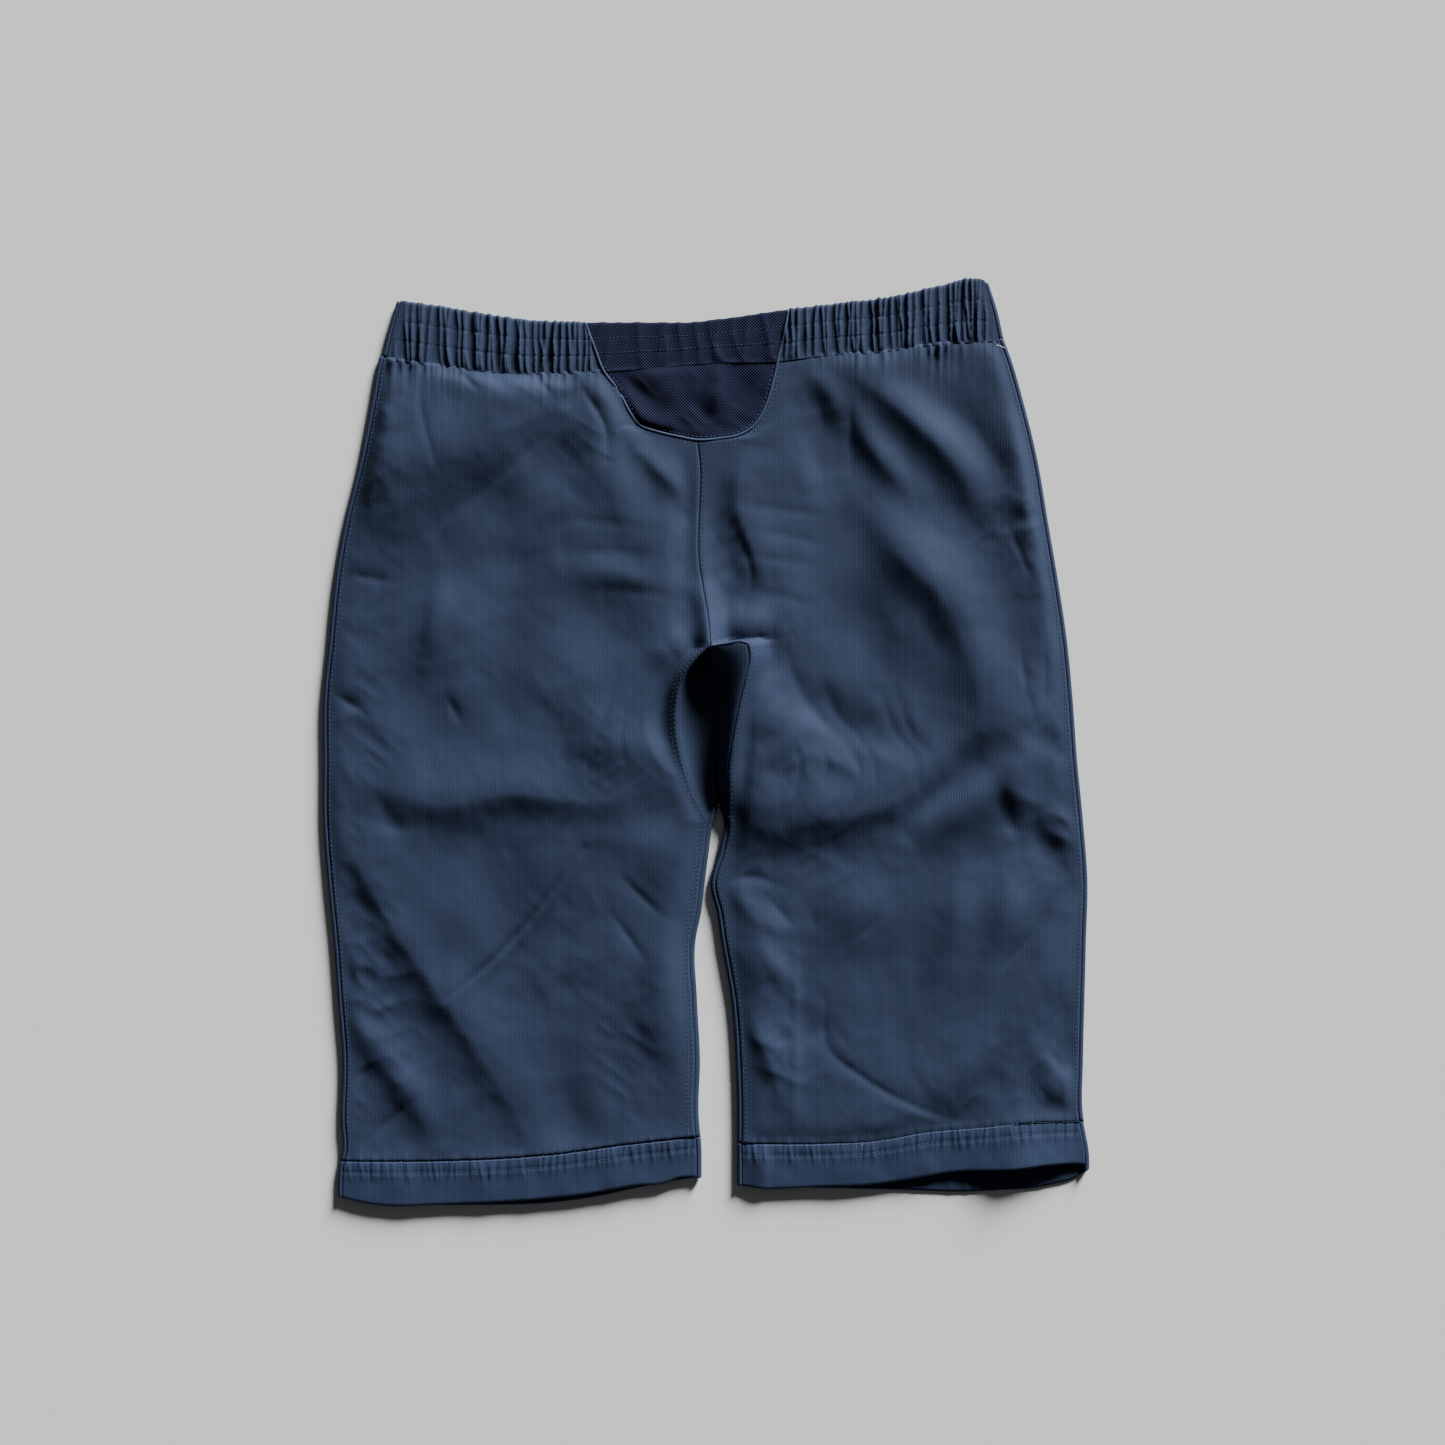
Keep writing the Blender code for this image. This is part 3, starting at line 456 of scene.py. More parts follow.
def seamRows(side, rows):
    sign = -1 if side == "left" else 1
    line = inseamLine[side]
    if side == "left":
        parts = [(16, 24, line)]
    else:
        parts = [(16, 19, line[:4]), (19, 24, line[3:])]
    parts = [(0, 4, yokeSide[side]), (4, 10, yokeLow[side]), (10, 16, centreBack)] + parts
    places = np.zeros((len(rows), 2))
    for low, high, points in parts:
        here = (rows >= low) & (rows <= high)
        places[here] = along(points, (rows[here] - low) / (high - low))
    last = np.array(line[-1], float)
    below = rows > 24
    hemY = hemLines[side]["row"][0 if side == "right" else -1][1]
    y = last[1] + (hemY - last[1]) * (rows[below] - 24) / 10
    places[below] = np.stack([graph(innerEdge[side], y) + sign * seams["sideSeam"], y], axis=1)
    return places


def sideRowsAt(side, rows):
    y = steps(sideRows[side], rows)
    return np.stack([graph(sideEdge[side], y), y], axis=1)


def gatherHeight(x, v, ends, count, tall, seed):
    # Tucks that run through the channels and wander a little, lower where the rows of stitches hold them.
    chance = np.random.default_rng(seed)
    step = chance.uniform(0.6, 1.4, count)
    pitch = (ends[1] - ends[0]) / count
    place = ends[0] + (ends[1] - ends[0]) * (np.cumsum(step) - step / 2) / step.sum()
    total = np.zeros(np.broadcast(x, v).shape)
    for k in range(count):
        shift = np.cumsum(chance.normal(0, 0.22 * pitch, 4))
        high = tall * chance.uniform(0.5, 1.2, 3)
        width = 0.27 * pitch * chance.uniform(0.75, 1.3)
        d = (x - place[k] - np.interp(v, (0, 1 / 3, 0.655, 1), shift)) / width
        total += np.interp(v, (0.17, 0.49, 0.83), high) * np.exp(-np.abs(d) ** 1.3)
    return total * (1 - 0.18 * (np.exp(-(((v - 1 / 3) / 0.03) ** 2)) + np.exp(-(((v - 0.655) / 0.03) ** 2))))


hemPucker = {"pitch": 3.6, "height": 0.75, "rowGap": 7.5, "above": 3.5, "below": 5.0, "seed": 31}


def puckers(side, x, y):
    # Fine tucks that the twin-needle rows of the hem draw up.
    down = graph(hemLines[side]["row"], x) - y
    gap = hemPucker["rowGap"]
    fade = np.exp(-(np.maximum(-down, 0) / hemPucker["above"]) ** 2)
    fade *= np.exp(-(np.maximum(down - gap, 0) / hemPucker["below"]) ** 2)
    chance = np.random.default_rng(hemPucker["seed"])
    place = -256.0
    total = np.zeros_like(x)
    while place < 262:
        place += hemPucker["pitch"] * chance.uniform(0.6, 1.4)
        height, lean = hemPucker["height"] * chance.uniform(0.3, 1.4), chance.uniform(-1.2, 1.2)
        d = (x - place - lean * (down - gap / 2) / gap) / (hemPucker["pitch"] * 0.33)
        total += height * np.exp(-np.abs(d) ** 1.6)
    pinch = 0.35 * (np.exp(-((down / 1.1) ** 2)) + np.exp(-(((down - gap) / 1.1) ** 2)))
    return total * fade - pinch


def hemHeight(side, x, down):
    lift = 7.0 if side == "right" else 0.8
    middle, reach = (214, 26) if side == "right" else (-90, 50)
    return edgeTop + 0.4 + lift * (0.4 + 0.6 * down) * np.exp(-(((x - middle) / reach) ** 2))


woven = wovenCloth("wovenPolyesterNavy", "#33405a", "#1e2436", 1.75, 0.1)
hemWoven = wovenCloth("hemPolyesterNavy", "#33415e", "#1e2538", 1.75, 0.1)
knit = meshKnit("meshKnitNavy", "#292e49", "#0c0e1a")
thread = plainThread("navySewingThread", ("#2b3850", "#3b4964"), 0.7)
piping = plainThread("navyPipingCord", ("#2a3650", "#3a4864"), 0.7)
whiteThread = plainThread("whiteBarTackThread", ("#b9bcc2", "#d8dade"), 0.6)
print("materials made")

# Back panels: the big cloths on top, from the waistband to the hem.
backPanel = {"columns": 150, "thickness": 0.6, "slot": "woven_polyester", "material": woven,
             "seamReach": 9, "topReach": 7, "hemReach": 9, "sideReach": 7, "swell": 1.1}
backPieces, backPlaces = {}, {}
fineRows = np.concatenate([np.arange(0, 112) / 7, 16 + np.arange(0, 72) / 9, np.linspace(24, 34, 141)])
for side in ("left", "right"):
    sign = -1 if side == "left" else 1
    outside = sideRowsAt(side, fineRows)
    outside[:, 0] -= sign * (seams["sideSeam"] - 0.2)
    inside = seamRows(side, fineRows)
    columns = backPanel["columns"]
    topX = np.linspace(outside[0, 0], inside[0, 0], columns + 1)
    lowX = np.linspace(outside[-1, 0], inside[-1, 0], columns + 1)
    top = np.stack([topX, graph(bandLow, topX)], axis=1)
    low = np.stack([lowX, graph(hemLines[side]["row"], lowX)], axis=1)
    outside[0], inside[0], outside[-1], inside[-1] = top[0], top[-1], low[0], low[-1]
    flat = coons(outside, inside, top, low, fineRows / seams["lastRow"])
    x, y = flat[..., 0], flat[..., 1]
    seam = np.where(fineRows <= 16, steps(centreHeights, fineRows), steps(inseamHeights[side], fineRows))
    z = seams["backRest"] + foldHeight(x, y, backFolds[side])
    z += backPanel["swell"] * ripple(x, y, (34, 38), 24)
    z += 0.16 * ripple(x, y, (19, 27), 5) + 0.08 * ripple(x + 40, y, (7, 11), 6)
    z += 0.03 * ripple(x, y, (3.2, 5), 8)
    fromSide = np.abs(x - x[:, :1])
    rough = 0.12 + 0.5 * np.exp(-((fromSide / 32) ** 2)) + 0.4 * np.exp(-((((x - x[:, -1:]) / 60) ** 2)))
    rough *= np.clip(0.55 + 0.7 * ripple(x, y, (55, 70), 14), 0.15, 1.5)
    rough *= 1 + 1.4 * np.exp(-(((y + 200) / 90) ** 2))
    z += rough * (1.0 * crumple(x, y, (30, 16), -25 * sign, 9) + 0.65 * crumple(x, y, (18, 9), 40 * sign, 10)
                  + 0.25 * crumple(x, y, (13, 5), -55 * sign, 11))
    z = softFloor(z, 2.3, 1.2)
    z = pulled(z, seam[:, None], np.hypot(x - x[:, -1:], y - y[:, -1:]), backPanel["seamReach"])
    z = pulled(z, seams["backRest"], top[None, :, 1] - y, backPanel["topReach"])
    z = pulled(z, hemHeight(side, x, 0), y - low[None, :, 1], backPanel["hemReach"])
    z = pulled(z, edgeTop - 0.15, fromSide, backPanel["sideReach"])
    fromTop = top[None, :, 1] - y
    drawn = gatherHeight(x, 0.5 + 0.012 * fromTop, (x[0].min(), x[0].max()), 34, 2.6, 70)
    drawn = drawn * np.clip(0.55 + 0.6 * ripple(x, y, (26, 90), 17), 0.05, 1.4)
    z += drawn * np.exp(-fromTop / 9) * (1 - 0.6 * np.exp(-((fromTop / 1.5) ** 2)))
    z -= 0.45 * np.exp(-((fromTop / 3) ** 2))
    z += puckers(side, x, y)
    fromSeam = np.hypot(x - x[:, -1:], y - y[:, -1:])
    z -= 0.12 * np.exp(-((fromSeam / 1.3) ** 2))
    points = np.dstack([x, y, z])
    piece = clothPiece(f"backPanel_{side}", points, dict(backPanel, nodes=(f"back_{side}",)), faceUp=(40, 40))
    backPieces[side], backPlaces[side] = piece, points
print("back panels laid")

# Front panels: on the ground, turned up at both edges of the leg, with the leaf that lines the hollow.
frontPanel = {"thickness": 0.6, "slot": "woven_polyester", "material": woven, "floor": 40, "leaf": 16,
              "angles": 13}
turnAngles = np.radians(np.linspace(90, -90, frontPanel["angles"]))
frontRows = np.concatenate([np.arange(0, 96) / 6, 16 + np.arange(0, 64) / 8, np.linspace(24, 34, 91)])
frontPieces = {}
undersideFolds = [
    (1.3, 12, 9, 0.1, (-236, 190), (-190, 150), (-120, 130)),
    (1.0, 9, 12, 0.1, (-200, 40), (-150, 20), (-90, 26)),
    (1.4, 10, 10, 0.1, (-225, -90), (-170, -140), (-110, -210)),
    (0.9, 8, 10, 0.1, (-90, -120), (-60, -170), (-52, -230)),
    (1.1, 10, 12, 0.1, (-120, 220), (-90, 170), (-86, 120)),
    (1.2, 11, 9, 0.1, (60, 230), (110, 180), (150, 120)),
    (1.0, 9, 11, 0.1, (200, 200), (190, 130), (206, 60)),
    (1.4, 12, 10, 0.1, (50, 20), (100, -20), (180, -30)),
    (1.0, 10, 9, 0.1, (220, -90), (180, -150), (130, -190)),
    (0.9, 8, 9, 0.1, (70, -120), (80, -180), (120, -230)),
]
for side in ("left", "right"):
    sign = -1 if side == "left" else 1
    edge = sideRowsAt(side, frontRows)
    stitched = seamRows(side, frontRows)
    count, floor, leaf = frontPanel["angles"], frontPanel["floor"], frontPanel["leaf"]
    columns = count + 1 + floor + count - 1 + leaf
    last, firstLeaf = count + 1 + floor, columns - leaf
    points = np.zeros((len(frontRows), columns, 3))
    used = np.zeros(points.shape[:2], bool)
    radius = seams["edgeRadius"]
    ground = along(centreFront, np.minimum(frontRows / 24, 1))
    riseAt = np.clip((frontRows - 16) / 8, 0, 1)
    rise = along(centreRise, riseAt)
    rise[:, 0] += sign * radius * np.clip((riseAt * 8 - 5) / 3, 0, 1) ** 2
    heights = steps(inseamHeights[side], frontRows) - 0.5
    shareFloor = np.linspace(0, 1, floor + 1)[1:]
    for r, row in enumerate(frontRows):
        x0, y0 = edge[r]
        points[r, 0] = (x0 - sign * (seams["sideSeam"] + 0.6), y0, edgeTop - 0.75)
        points[r, 1: count + 1, 0] = x0 - sign * radius * (1 - np.cos(turnAngles))
        points[r, 1: count + 1, 1] = y0
        points[r, 1: count + 1, 2] = radius + radius * np.sin(turnAngles)
        start = points[r, count, :2]
        foldEdge = np.array([graph(innerEdge[side], stitched[r, 1]), stitched[r, 1]])
        end = ground[r] if row < 24 else foldEdge + (sign * radius, 0)
        points[r, count + 1: last, :2] = start + shareFloor[:, None] * (end - start)
        used[r, :last] = True
        if row >= 24:
            if row == 24:
                foldEdge = np.array([graph(innerEdge[side], -44), -44.0])
                wayToEdge = foldEdge + (sign * radius, 0) - start
                points[r, count + 1: last, :2] = start + shareFloor[:, None] * wayToEdge
            around = turnAngles[1:-1][::-1]
            points[r, last: last + count - 2, 0] = foldEdge[0] + sign * radius * (1 - np.cos(around))
            points[r, last: last + count - 2, 1] = foldEdge[1]
            points[r, last: last + count - 2, 2] = radius + radius * np.sin(around)
            points[r, last + count - 2] = (foldEdge[0] + sign * radius, foldEdge[1], edgeTop)
            used[r] = True
        if row >= 16:
            begin = rise[r] if row < 24 else points[r, last + count - 2].copy()
            share = np.linspace(0, 1, leaf + 1)
            shape = np.sin(share * math.pi / 2) if side == "right" else share**4
            goal = stitched[r] + (sign * 0.4 if row > 24 else 0, 0)
            points[r, firstLeaf - 1:, :2] = begin[:2] + share[:, None] * (goal - begin[:2])
            points[r, firstLeaf - 1:, 2] = begin[2] + shape * (heights[r] - begin[2])
            if side == "left" and row < 24:
                dip = 0.95 * max(0, min(begin[2], heights[r]) - 2)
                points[r, firstLeaf - 1:, 2] -= dip * np.sin(math.pi * share)
            used[r, firstLeaf - 1:] = True
    hidden = foldHeight(points[:, count: last, 0], points[:, count: last, 1], undersideFolds)
    inwards = np.clip(np.minimum(np.arange(last - count), np.arange(last - count)[::-1]) / 5, 0, 1)
    points[:, count: last, 2] += np.maximum(hidden, 0) * inwards
    for row, line, share in ((0, bandLow, np.clip(1 - frontRows / 4, 0, 1)),
                             (-1, hemLines[side]["row"], np.clip((frontRows - 30) / 4, 0, 1))):
        shift = graph(line, points[row, :, 0]) - points[row, :, 1]
        points[..., 1] += share[:, None] * shift
    piece = clothPiece(f"frontPanel_{side}", points, dict(frontPanel, nodes=(f"front_{side}",)), used,
                       faceUp=(40, count + 8), up=False)
    frontPieces[side] = piece
print("front panels laid")

# Mesh yoke let into the back under the waistband.
yokePanel = {"rows": 60, "columns": 120, "thickness": 0.6, "slot": "mesh_knit", "material": knit}
yokeFolds = [
    (2.2, 7, 7, 0.1, (-60, 244), (-50, 226), (-34, 214), (-14, 209)),
    (-1.3, 6, 6, 0.3, (-67, 251), (-48, 238), (-30, 224)),
    (-1.3, 6, 6, 0.3, (-18, 235), (0, 222), (17, 209)),
    (2.9, 5, 7, 0.3, (7, 254), (8, 238), (7, 221)),
    (2.5, 12, 9, 0.1, (-40, 250), (-24, 238), (-14, 226)),
    (-1.6, 12, 10, 0.1, (28, 252), (26, 236), (22, 220)),
]
rowShare = np.linspace(0, 1, yokePanel["rows"] + 1)
left, right = along(yokeSide["left"], rowShare), along(yokeSide["right"], rowShare)
half = np.linspace(0, 1, yokePanel["columns"] // 2 + 1)
low = np.concatenate([along(yokeLow["left"], half), along(yokeLow["right"], half)[::-1][1:]])
topX = np.linspace(left[0, 0], right[0, 0], len(low))
top = np.stack([topX, graph(bandLow, topX)], axis=1)
left[0], right[0], left[-1], right[-1] = top[0], top[-1], low[0], low[-1]
flat = coons(left, right, top, low, rowShare)
x, y = flat[..., 0], flat[..., 1]
z = seams["backRest"] + 0.1 + foldHeight(x, y, yokeFolds) + 0.15 * ripple(x, y, (9, 12), 12)
z += 0.45 * crumple(x, y, (22, 12), 60, 13) + 0.2 * crumple(x, y, (10, 7), -40, 15)
fromEdge = np.minimum(np.minimum(np.hypot(x - x[:, :1], y - y[:, :1]), np.hypot(x - x[:, -1:], y - y[:, -1:])),
                      np.minimum(y[:1] - y, y - y[-1:]))
z = pulled(z, seams["backRest"] - 0.2, fromEdge, 4)
yokePiece = clothPiece("meshYoke", np.dstack([x, y, z]), dict(yokePanel, nodes=("back_yoke",)),
                       faceUp=(20, 20))
print("yoke laid")

# Waistband: three gathered channels between rows of shirring.
bandPart = {"rows": 48, "thickness": 1.0, "slot": "woven_polyester", "material": woven, "tall": 1.9}
bandParts = {
    "left": {"ends": ("far", "mesh"), "count": 34, "seed": 40, "columns": 210, "node": "waistband_back_left"},
    "mesh": {"ends": ("mesh", "mesh"), "count": 13, "seed": 50, "columns": 150, "node": "waistband_back_mesh"},
    "right": {"ends": ("mesh", "far"), "count": 37, "seed": 60, "columns": 220,
              "node": "waistband_back_right"},
}
v = np.linspace(0, 1, bandPart["rows"] + 1)[:, None]
meshLeft = (1 - v) * meshBand["top"][0] + v * meshBand["low"][0]
meshRight = (1 - v) * meshBand["top"][1] + v * meshBand["low"][1]
farLeft = along(bandEnds["left"], v[:, 0])[:, :1] + seams["sideSeam"] - 0.2
farRight = along(bandEnds["right"], v[:, 0])[:, :1] - seams["sideSeam"] + 0.2
bandPieces, bandPlaces = [], {}
for part, settings in bandParts.items():
    start = farLeft if part == "left" else meshLeft if part == "mesh" else meshRight
    stop = farRight if part == "right" else meshRight if part == "mesh" else meshLeft
    x = start + (stop - start) * np.linspace(0, 1, settings["columns"] + 1)
    tall = bandPart["tall"] * (0.55 if part == "mesh" else 1)
    rise = gatherHeight(x, v, (start.mean(), stop.mean()), settings["count"], tall, settings["seed"])
    y = (1 - v) * graph(bandTop, x) + v * (graph(bandLow, x) - 2.2)
    z = seams["bandRest"] - 1.2 + rise
    for rowAt in (1 / 3, 0.655):
        z -= 0.08 * np.exp(-(((v - rowAt) / 0.025) ** 2))
    z += 0.3 * np.sin(math.pi * np.clip(v, 0, 1)) ** 0.5
    z = pulled(z, seams["backRest"] + 0.1, (1 - v) * 37, 2.5)
    z -= 1.6 * (1 - np.sqrt(np.clip(1 - (1 - np.clip(v * 37 / 2.2, 0, 1)) ** 2, 0, 1)))
    for end in ("left", "right"):
        table = bandEnds[end]
        edgeX = np.interp(v, [0, 0.5, 1], [p[0] for p in table])
        z = pulled(z, edgeTop, np.abs(x - edgeX) - seams["sideSeam"], 5)
    chosen = dict(bandPart, nodes=(settings["node"],))
    if part == "mesh":
        chosen.update(slot="mesh_knit", material=knit)
    y += 0.35 * rise * (1 - v) ** 8
    bandPieces.append(clothPiece(f"waistband_{part}", np.dstack([x, y, z]), chosen, faceUp=(20, 20)))
    bandPlaces[part] = np.dstack([x, y, z])

frontBand = {"columns": 260, "rows": 24, "thickness": 1.0, "slot": "woven_polyester", "material": woven,
             "nodes": ("waistband_front",)}
rows = np.linspace(0, 1, frontBand["rows"] + 1)
count = frontPanel["angles"]
leftEnd, rightEnd = along(bandEnds["left"], rows), along(bandEnds["right"], rows)
points = np.zeros((len(rows), 2 * (count + 1) + frontBand["columns"] - 1, 3))
radius = seams["edgeRadius"]
for k, share in enumerate(rows):
    for way, end, chosen in ((1, leftEnd[k, 0], slice(0, count + 1)), (-1, rightEnd[k, 0], slice(-1, -count - 2, -1))):
        turnX = np.concatenate([[end + way * (seams["sideSeam"] + 0.6)], end + way * radius * (1 - np.cos(turnAngles))])
        turnZ = np.concatenate([[edgeTop - 0.75], radius + radius * np.sin(turnAngles)])
        points[k, chosen, 0], points[k, chosen, 2] = turnX, turnZ
    first, last = points[k, count, 0], points[k, -count - 1, 0]
    x = np.linspace(first, last, frontBand["columns"] + 1)
    points[k, count: count + frontBand["columns"] + 1, 0] = x
across = points[..., 0]
v = rows[:, None]
points[..., 1] = (1 - v) * (graph(bandTop, across) - 0.8) + v * graph(bandLow, across)
middle = slice(count, count + frontBand["columns"] + 1)
flatGathers = 0.5 * gatherHeight(across[:, middle], v, (-205, 190), 60, 1.0, 80)
column = np.arange(frontBand["columns"] + 1)
ease = np.clip(np.minimum(column, column[::-1]) / 8, 0, 1)
points[:, middle, 2] += flatGathers * ease
frontBandPiece = clothPiece("waistband_front_cloth", points, frontBand, faceUp=(10, count + 40), up=False)
print("waistband gathered")

# Hems: turned up and held by twin rows, the right back hem stands open near its outer end.
hemCloth = {"rows": 26, "columns": 220, "thickness": 1.1, "slot": "hem_polyester", "material": hemWoven}
hemFolds = {
    "left": [(0.8, 10, 12, 0.1, (-210, -290), (-206, -312)), (0.7, 9, 9, 0.1, (-150, -292), (-148, -314)),
             (0.9, 10, 8, 0.1, (-64, -284), (-58, -304))],
    "right": [(1.8, 5, 14, 0.2, (38, -276), (38, -303)), (1.0, 12, 10, 0.1, (96, -280), (92, -302)),
              (0.9, 8, 10, 0.1, (146, -272), (150, -298))],
}
hemPieces = {}
for side in ("left", "right"):
    sign = -1 if side == "left" else 1
    rows = np.linspace(0, 1, hemCloth["rows"] + 1)
    v = rows[:, None]
    topEnds, lowEnds = backPlaces[side][-1, 0], backPlaces[side][-1, -1]
    outerY = topEnds[1] + v * (hemLines[side]["back"][0 if side == "left" else -1][1] - topEnds[1])
    innerY = lowEnds[1] + v * (hemLines[side]["back"][-1 if side == "left" else 0][1] - lowEnds[1])
    start = graph(sideEdge[side], outerY) - sign * (seams["sideSeam"] - 0.2)
    stop = graph(innerEdge[side], innerY) + sign * seams["sideSeam"]
    x = start + (stop - start) * np.linspace(0, 1, hemCloth["columns"] + 1)[None, :]
    y = (1 - v) * graph(hemLines[side]["row"], x) + v * graph(hemLines[side]["back"], x)
    z = hemHeight(side, x, v) + foldHeight(x, y, hemFolds[side]) * np.clip(v * 4, 0, 1)
    z += 0.12 * ripple(x, y, (8, 10), 21) * np.clip(v * 4, 0, 1)
    for column in (0, -1):
        z = pulled(z, edgeTop - 0.15, np.abs(x - x[:, column:][:, :1]), 8)
        z -= 0.1 * np.exp(-((np.abs(x - x[:, column:][:, :1]) / 1.2) ** 2))
    z += puckers(side, x, y)
    z -= 0.5 * np.clip((v - 0.94) / 0.06, 0, 1) ** 2
    hemPieces[f"back_{side}"] = clothPiece(f"hemBack_{side}", np.dstack([x, y, z]),
                                           dict(hemCloth, nodes=(f"hem_back_{side}",)), faceUp=(10, 20))
    startEdge, stopEdge = graph(sideEdge[side], outerY[:, 0]), graph(innerEdge[side], innerY[:, 0])
    floor = 150
    points = np.zeros((len(rows), 2 * (count + 1) + floor - 1, 3))
    for way, end, chosen in ((-sign, startEdge, slice(0, count + 1)), (sign, stopEdge, slice(-1, -count - 2, -1))):
        inward = np.concatenate([[seams["sideSeam"] + 0.6], radius * (1 - np.cos(turnAngles))])
        turnZ = np.concatenate([[edgeTop - 0.75], radius + radius * np.sin(turnAngles)])
        points[:, chosen, 0], points[:, chosen, 2] = end[:, None] + way * inward, turnZ
    middle = slice(count, count + floor + 1)
    share = np.linspace(0, 1, floor + 1)
    points[:, middle, 0] = points[:, count, :1] + (points[:, -count - 1, :1] - points[:, count, :1]) * share
    across = points[..., 0]
    points[..., 1] = (1 - v) * graph(hemLines[side]["row"], across) + v * graph(hemLines[side]["front"], across)
    ease = np.clip(np.minimum(np.arange(floor + 1), np.arange(floor + 1)[::-1]) / 8, 0, 1)
    ends = sorted((startEdge.mean(), stopEdge.mean()))
    tucks = gatherHeight(across[:, middle], v, ends, 40, 0.8, 90) * (1 - 0.8 * v**4)
    points[:, middle, 2] += tucks * ease
    hemSettings = dict(hemCloth, nodes=(f"hem_front_{side}",))
    hemPieces[f"front_{side}"] = clothPiece(f"hemFront_{side}", points, hemSettings,
                                            faceUp=(10, count + 30), up=False)
print("hems turned up")


def treeOf(*pieces):
    bpy.context.view_layer.update()
    vertices, faces = [], []
    for piece in pieces:
        first = len(vertices)
        vertices += [v.co.copy() for v in piece.data.vertices]
        faces += [[first + i for i in face.vertices] for face in piece.data.polygons]
    return BVHTree.FromPolygons(vertices, faces)


topTree = treeOf(backPieces["left"], backPieces["right"], yokePiece, *bandPieces, hemPieces["back_left"],
                 hemPieces["back_right"], frontPieces["left"], frontPieces["right"], hemPieces["front_left"],
                 hemPieces["front_right"])


def laidOn(line, lift):
    # The line on top of the cloth, with the cloth's normals.
    places, normals = [], []
    for x, y in line:
        hit, normal, index, far = topTree.ray_cast(Vector((x * 0.001, y * 0.001, 0.1)), Vector((0, 0, -1)))
        if hit is None:
            continue
        normal = normal if normal.z > 0 else -normal
        places.append(np.array(hit) * 1000 + np.array(normal) * lift)
        normals.append(np.array(normal))
    return np.array(places), np.array(normals)


def stitchRow(lines, settings):
    # Stitches as small rounded bars, one after another along each line.
    maker = bmesh.new()
    bmesh.ops.create_icosphere(maker, subdivisions=1, radius=0.5)
    maker.verts.ensure_lookup_table()
    ball = np.array([v.co[:] for v in maker.verts])
    ballFaces = np.array([[v.index for v in face.verts] for face in maker.faces])
    maker.free()
    allPoints, allFaces, count = [], [], 0
    for line in lines:
        line = np.asarray(line, float)
        length = np.linalg.norm(np.diff(line, axis=0), axis=1).sum()
        number = max(2, int(length / settings["pitch"]))
        places, normals = laidOn(along(line, np.linspace(0, 1, number)), settings["lift"])
        if len(places) < 3:
            continue
        ways = np.gradient(places, axis=0)
        ways /= np.linalg.norm(ways, axis=1)[:, None]
        sides = np.cross(normals, ways)
        sides /= np.linalg.norm(sides, axis=1)[:, None]
        ups = np.cross(ways, sides)
        bar = ball * (settings["length"], settings["width"], settings["height"])
        shaped = (places[:, None] + bar[None, :, :1] * ways[:, None] + bar[None, :, 1:2] * sides[:, None]
                  + bar[None, :, 2:] * ups[:, None])
        allPoints.append(shaped.reshape(-1, 3))
        for k in range(len(places)):
            allFaces.append(ballFaces + count)
            count += len(ball)
    mesh = bpy.data.meshes.new(settings["name"])
    mesh.from_pydata((np.concatenate(allPoints) * 0.001).tolist(), [], np.concatenate(allFaces).tolist())
    mesh.polygons.foreach_set("use_smooth", [True] * len(mesh.polygons))
    mesh.materials.append(settings["material"])
    piece = bpy.data.objects.new(settings["name"], mesh)
    bpy.context.scene.collection.objects.link(piece)
    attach(piece, "root")
    return piece


def tube(name, line, normals, radius, material):
    sides = 10
    angles = np.linspace(0, 2 * math.pi, sides + 1)
    ways = np.gradient(line, axis=0)
    ways /= np.linalg.norm(ways, axis=1)[:, None]
    across = np.cross(normals, ways)
    across /= np.linalg.norm(across, axis=1)[:, None]
    ups = np.cross(ways, across)
    points = (line[:, None] + radius * np.cos(angles)[None, :, None] * across[:, None]
              + 0.7 * radius * np.sin(angles)[None, :, None] * ups[:, None])
    maker = bmesh.new()
    bmesh.ops.create_grid(maker, x_segments=sides, y_segments=len(line) - 1, size=1)
    maker.verts.ensure_lookup_table()
    for vertex, place in zip(maker.verts, points.reshape(-1, 3) * 0.001):
        vertex.co = place
    bmesh.ops.remove_doubles(maker, verts=maker.verts[:], dist=1e-6)
    bmesh.ops.holes_fill(maker, edges=[e for e in maker.edges if e.is_boundary])
    bmesh.ops.recalc_face_normals(maker, faces=maker.faces[:])
    mesh = bpy.data.meshes.new(name)
    maker.to_mesh(mesh)
    maker.free()
    mesh.polygons.foreach_set("use_smooth", [True] * len(mesh.polygons))
    mesh.materials.append(material)
    piece = bpy.data.objects.new(name, mesh)
    bpy.context.scene.collection.objects.link(piece)
    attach(piece, "root")
    return piece


# Piping round the yoke, up to the top of the waistband.
pipe = {"radius": 0.85, "lift": 0.1}
bandLeftUp = [(-82, 283.5), (-77.5, 272), (-73.5, 261)]
bandRightUp = [(51.5, 269), (54, 281), (56, 292)]
lineLeft = bandLeftUp + yokeSide["left"][:-1] + yokeLow["left"]
lineRight = yokeLow["right"][::-1][1:] + yokeSide["right"][::-1][1:] + bandRightUp
pipeLine = along(lineLeft + lineRight, np.linspace(0, 1, 160))
places, normals = laidOn(pipeLine, pipe["lift"])
for k in range(3):
    places[1:-1] = (places[:-2] + places[1:-1] + places[2:]) / 3
pipingPiece = tube("yokePiping", places, np.tile((0, 0, 1.0), (len(places), 1)), pipe["radius"], piping)

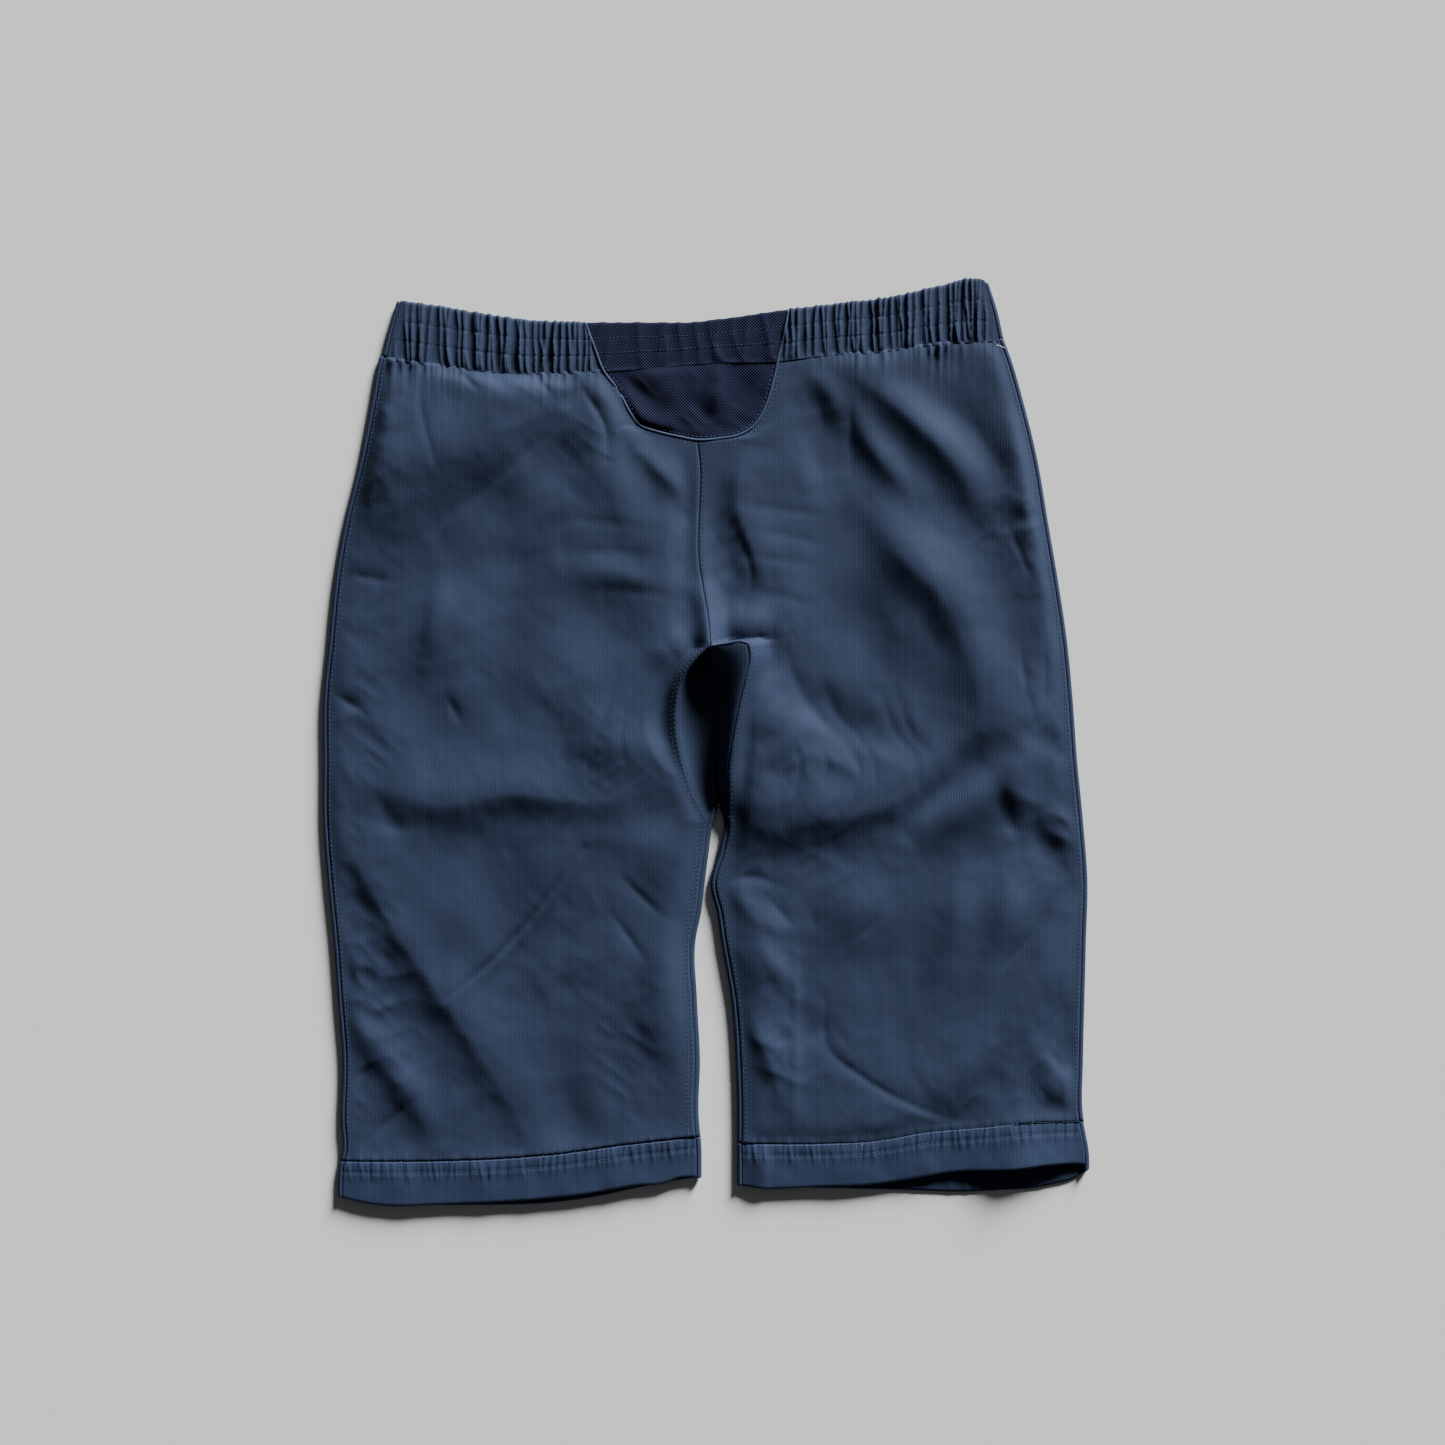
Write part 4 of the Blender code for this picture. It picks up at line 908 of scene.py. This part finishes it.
stitch = {"pitch": 3.0, "length": 2.3, "width": 0.5, "height": 0.35, "lift": 0.02, "material": thread,
          "slot": "woven_polyester"}
yokeLine = along(yokeSide["left"][:-1] + yokeLow["left"] + yokeLow["right"][::-1][1:] + yokeSide["right"][::-1][1:],
                 np.linspace(0, 1, 90))
yokeStitches = stitchRow([moved(yokeLine, -2.6), moved(yokeLine, 2.3)], dict(stitch, name="yokeTopstitch"))
centreLine = along(centreBack, np.linspace(0, 1, 40))
inseams = {side: seamRows(side, np.linspace(16.2, 33.9, 120)) for side in ("left", "right")}
seamStitches = stitchRow(
    [moved(centreLine, 2.2), moved(inseams["left"], -2.0), moved(inseams["left"], -4.6),
     moved(inseams["right"], 2.4)],
    dict(stitch, name="seamTopstitch"))
sideLines = []
for side in ("left", "right"):
    sign = -1 if side == "left" else 1
    line = sideRowsAt(side, np.linspace(0.1, 33.9, 200))
    line[:, 0] -= sign * (seams["sideSeam"] + 1.6)
    sideLines.append(line)
sideStitches = stitchRow(sideLines, dict(stitch, name="sideTopstitch"))
hemRows = []
for side in ("left", "right"):
    across = [p[0] for p in hemLines[side]["row"]]
    x = np.linspace(min(across) + 6, max(across) - 6, 90)
    y = graph(hemLines[side]["row"], x)
    hemRows += [np.stack([x, y - 0.9], axis=1), np.stack([x, y - hemPucker["rowGap"]], axis=1)]
stitchRow(hemRows, dict(stitch, name="hemTwinNeedle", slot="hem_polyester"))
bandRows = []
x = np.linspace(-212, 188, 200)
for share in (1 / 3, 0.655):
    bandRows.append(np.stack([x, (1 - share) * graph(bandTop, x) + share * graph(bandLow, x)], axis=1))
bandStitches = stitchRow(bandRows, dict(stitch, name="shirringRows", pitch=2.6, length=2.0))
barTack = stitchRow([[(197.5, 268.2), (200, 267.4), (202, 266.6)]],
                    dict(stitch, name="barTack", pitch=0.7, length=0.9, width=0.9, height=0.7,
                         material=whiteThread))
print("stitches sewn")

# Stage: pale floor, low soft key from the upper right, weak fill.
stage = {"floor": "#e6e6e6", "keyAzimuth": 61, "keyElevation": 18, "keySpread": 18, "keyPower": 11.2,
         "fill": 0.055}
maker = bmesh.new()
bmesh.ops.create_grid(maker, x_segments=1, y_segments=1, size=4)
mesh = bpy.data.meshes.new("floor")
maker.to_mesh(mesh)
maker.free()
floorMaterial, surface = startMaterial("paleStudioFloor")
surface.inputs["Base Color"].default_value = toLinear(stage["floor"])
surface.inputs["Roughness"].default_value = 0.9
surface.inputs["Specular IOR Level"].default_value = 0.1
mesh.materials.append(floorMaterial)
floorPiece = bpy.data.objects.new("floor", mesh)
floorPiece.location = (0, 0, -0.0004)
bpy.context.scene.collection.objects.link(floorPiece)

azimuth, elevation = math.radians(stage["keyAzimuth"]), math.radians(stage["keyElevation"])
toKey = Vector((math.cos(azimuth) * math.cos(elevation), math.sin(azimuth) * math.cos(elevation),
                math.sin(elevation)))
key = bpy.data.lights.new("key", "SUN")
key.angle = math.radians(stage["keySpread"])
key.energy = stage["keyPower"]
keyLamp = bpy.data.objects.new("key", key)
keyLamp.location = toKey * 2
keyLamp.rotation_euler = toKey.to_track_quat("Z", "Y").to_euler()
bpy.context.scene.collection.objects.link(keyLamp)
world = bpy.data.worlds.new("studio")
world.use_nodes = True
world.node_tree.nodes["Background"].inputs[0].default_value = (0.93, 0.95, 1.0, 1)
world.node_tree.nodes["Background"].inputs[1].default_value = stage["fill"]
bpy.context.scene.world = world

view = bpy.data.cameras.new("overhead")
view.lens = 54.96
view.sensor_width = 36
view.dof.use_dof = False
camera = bpy.data.objects.new("overhead", view)
camera.location = (0.0112, 0.0126, 1.5)
bpy.context.scene.collection.objects.link(camera)
bpy.context.scene.camera = camera
print("stage set")
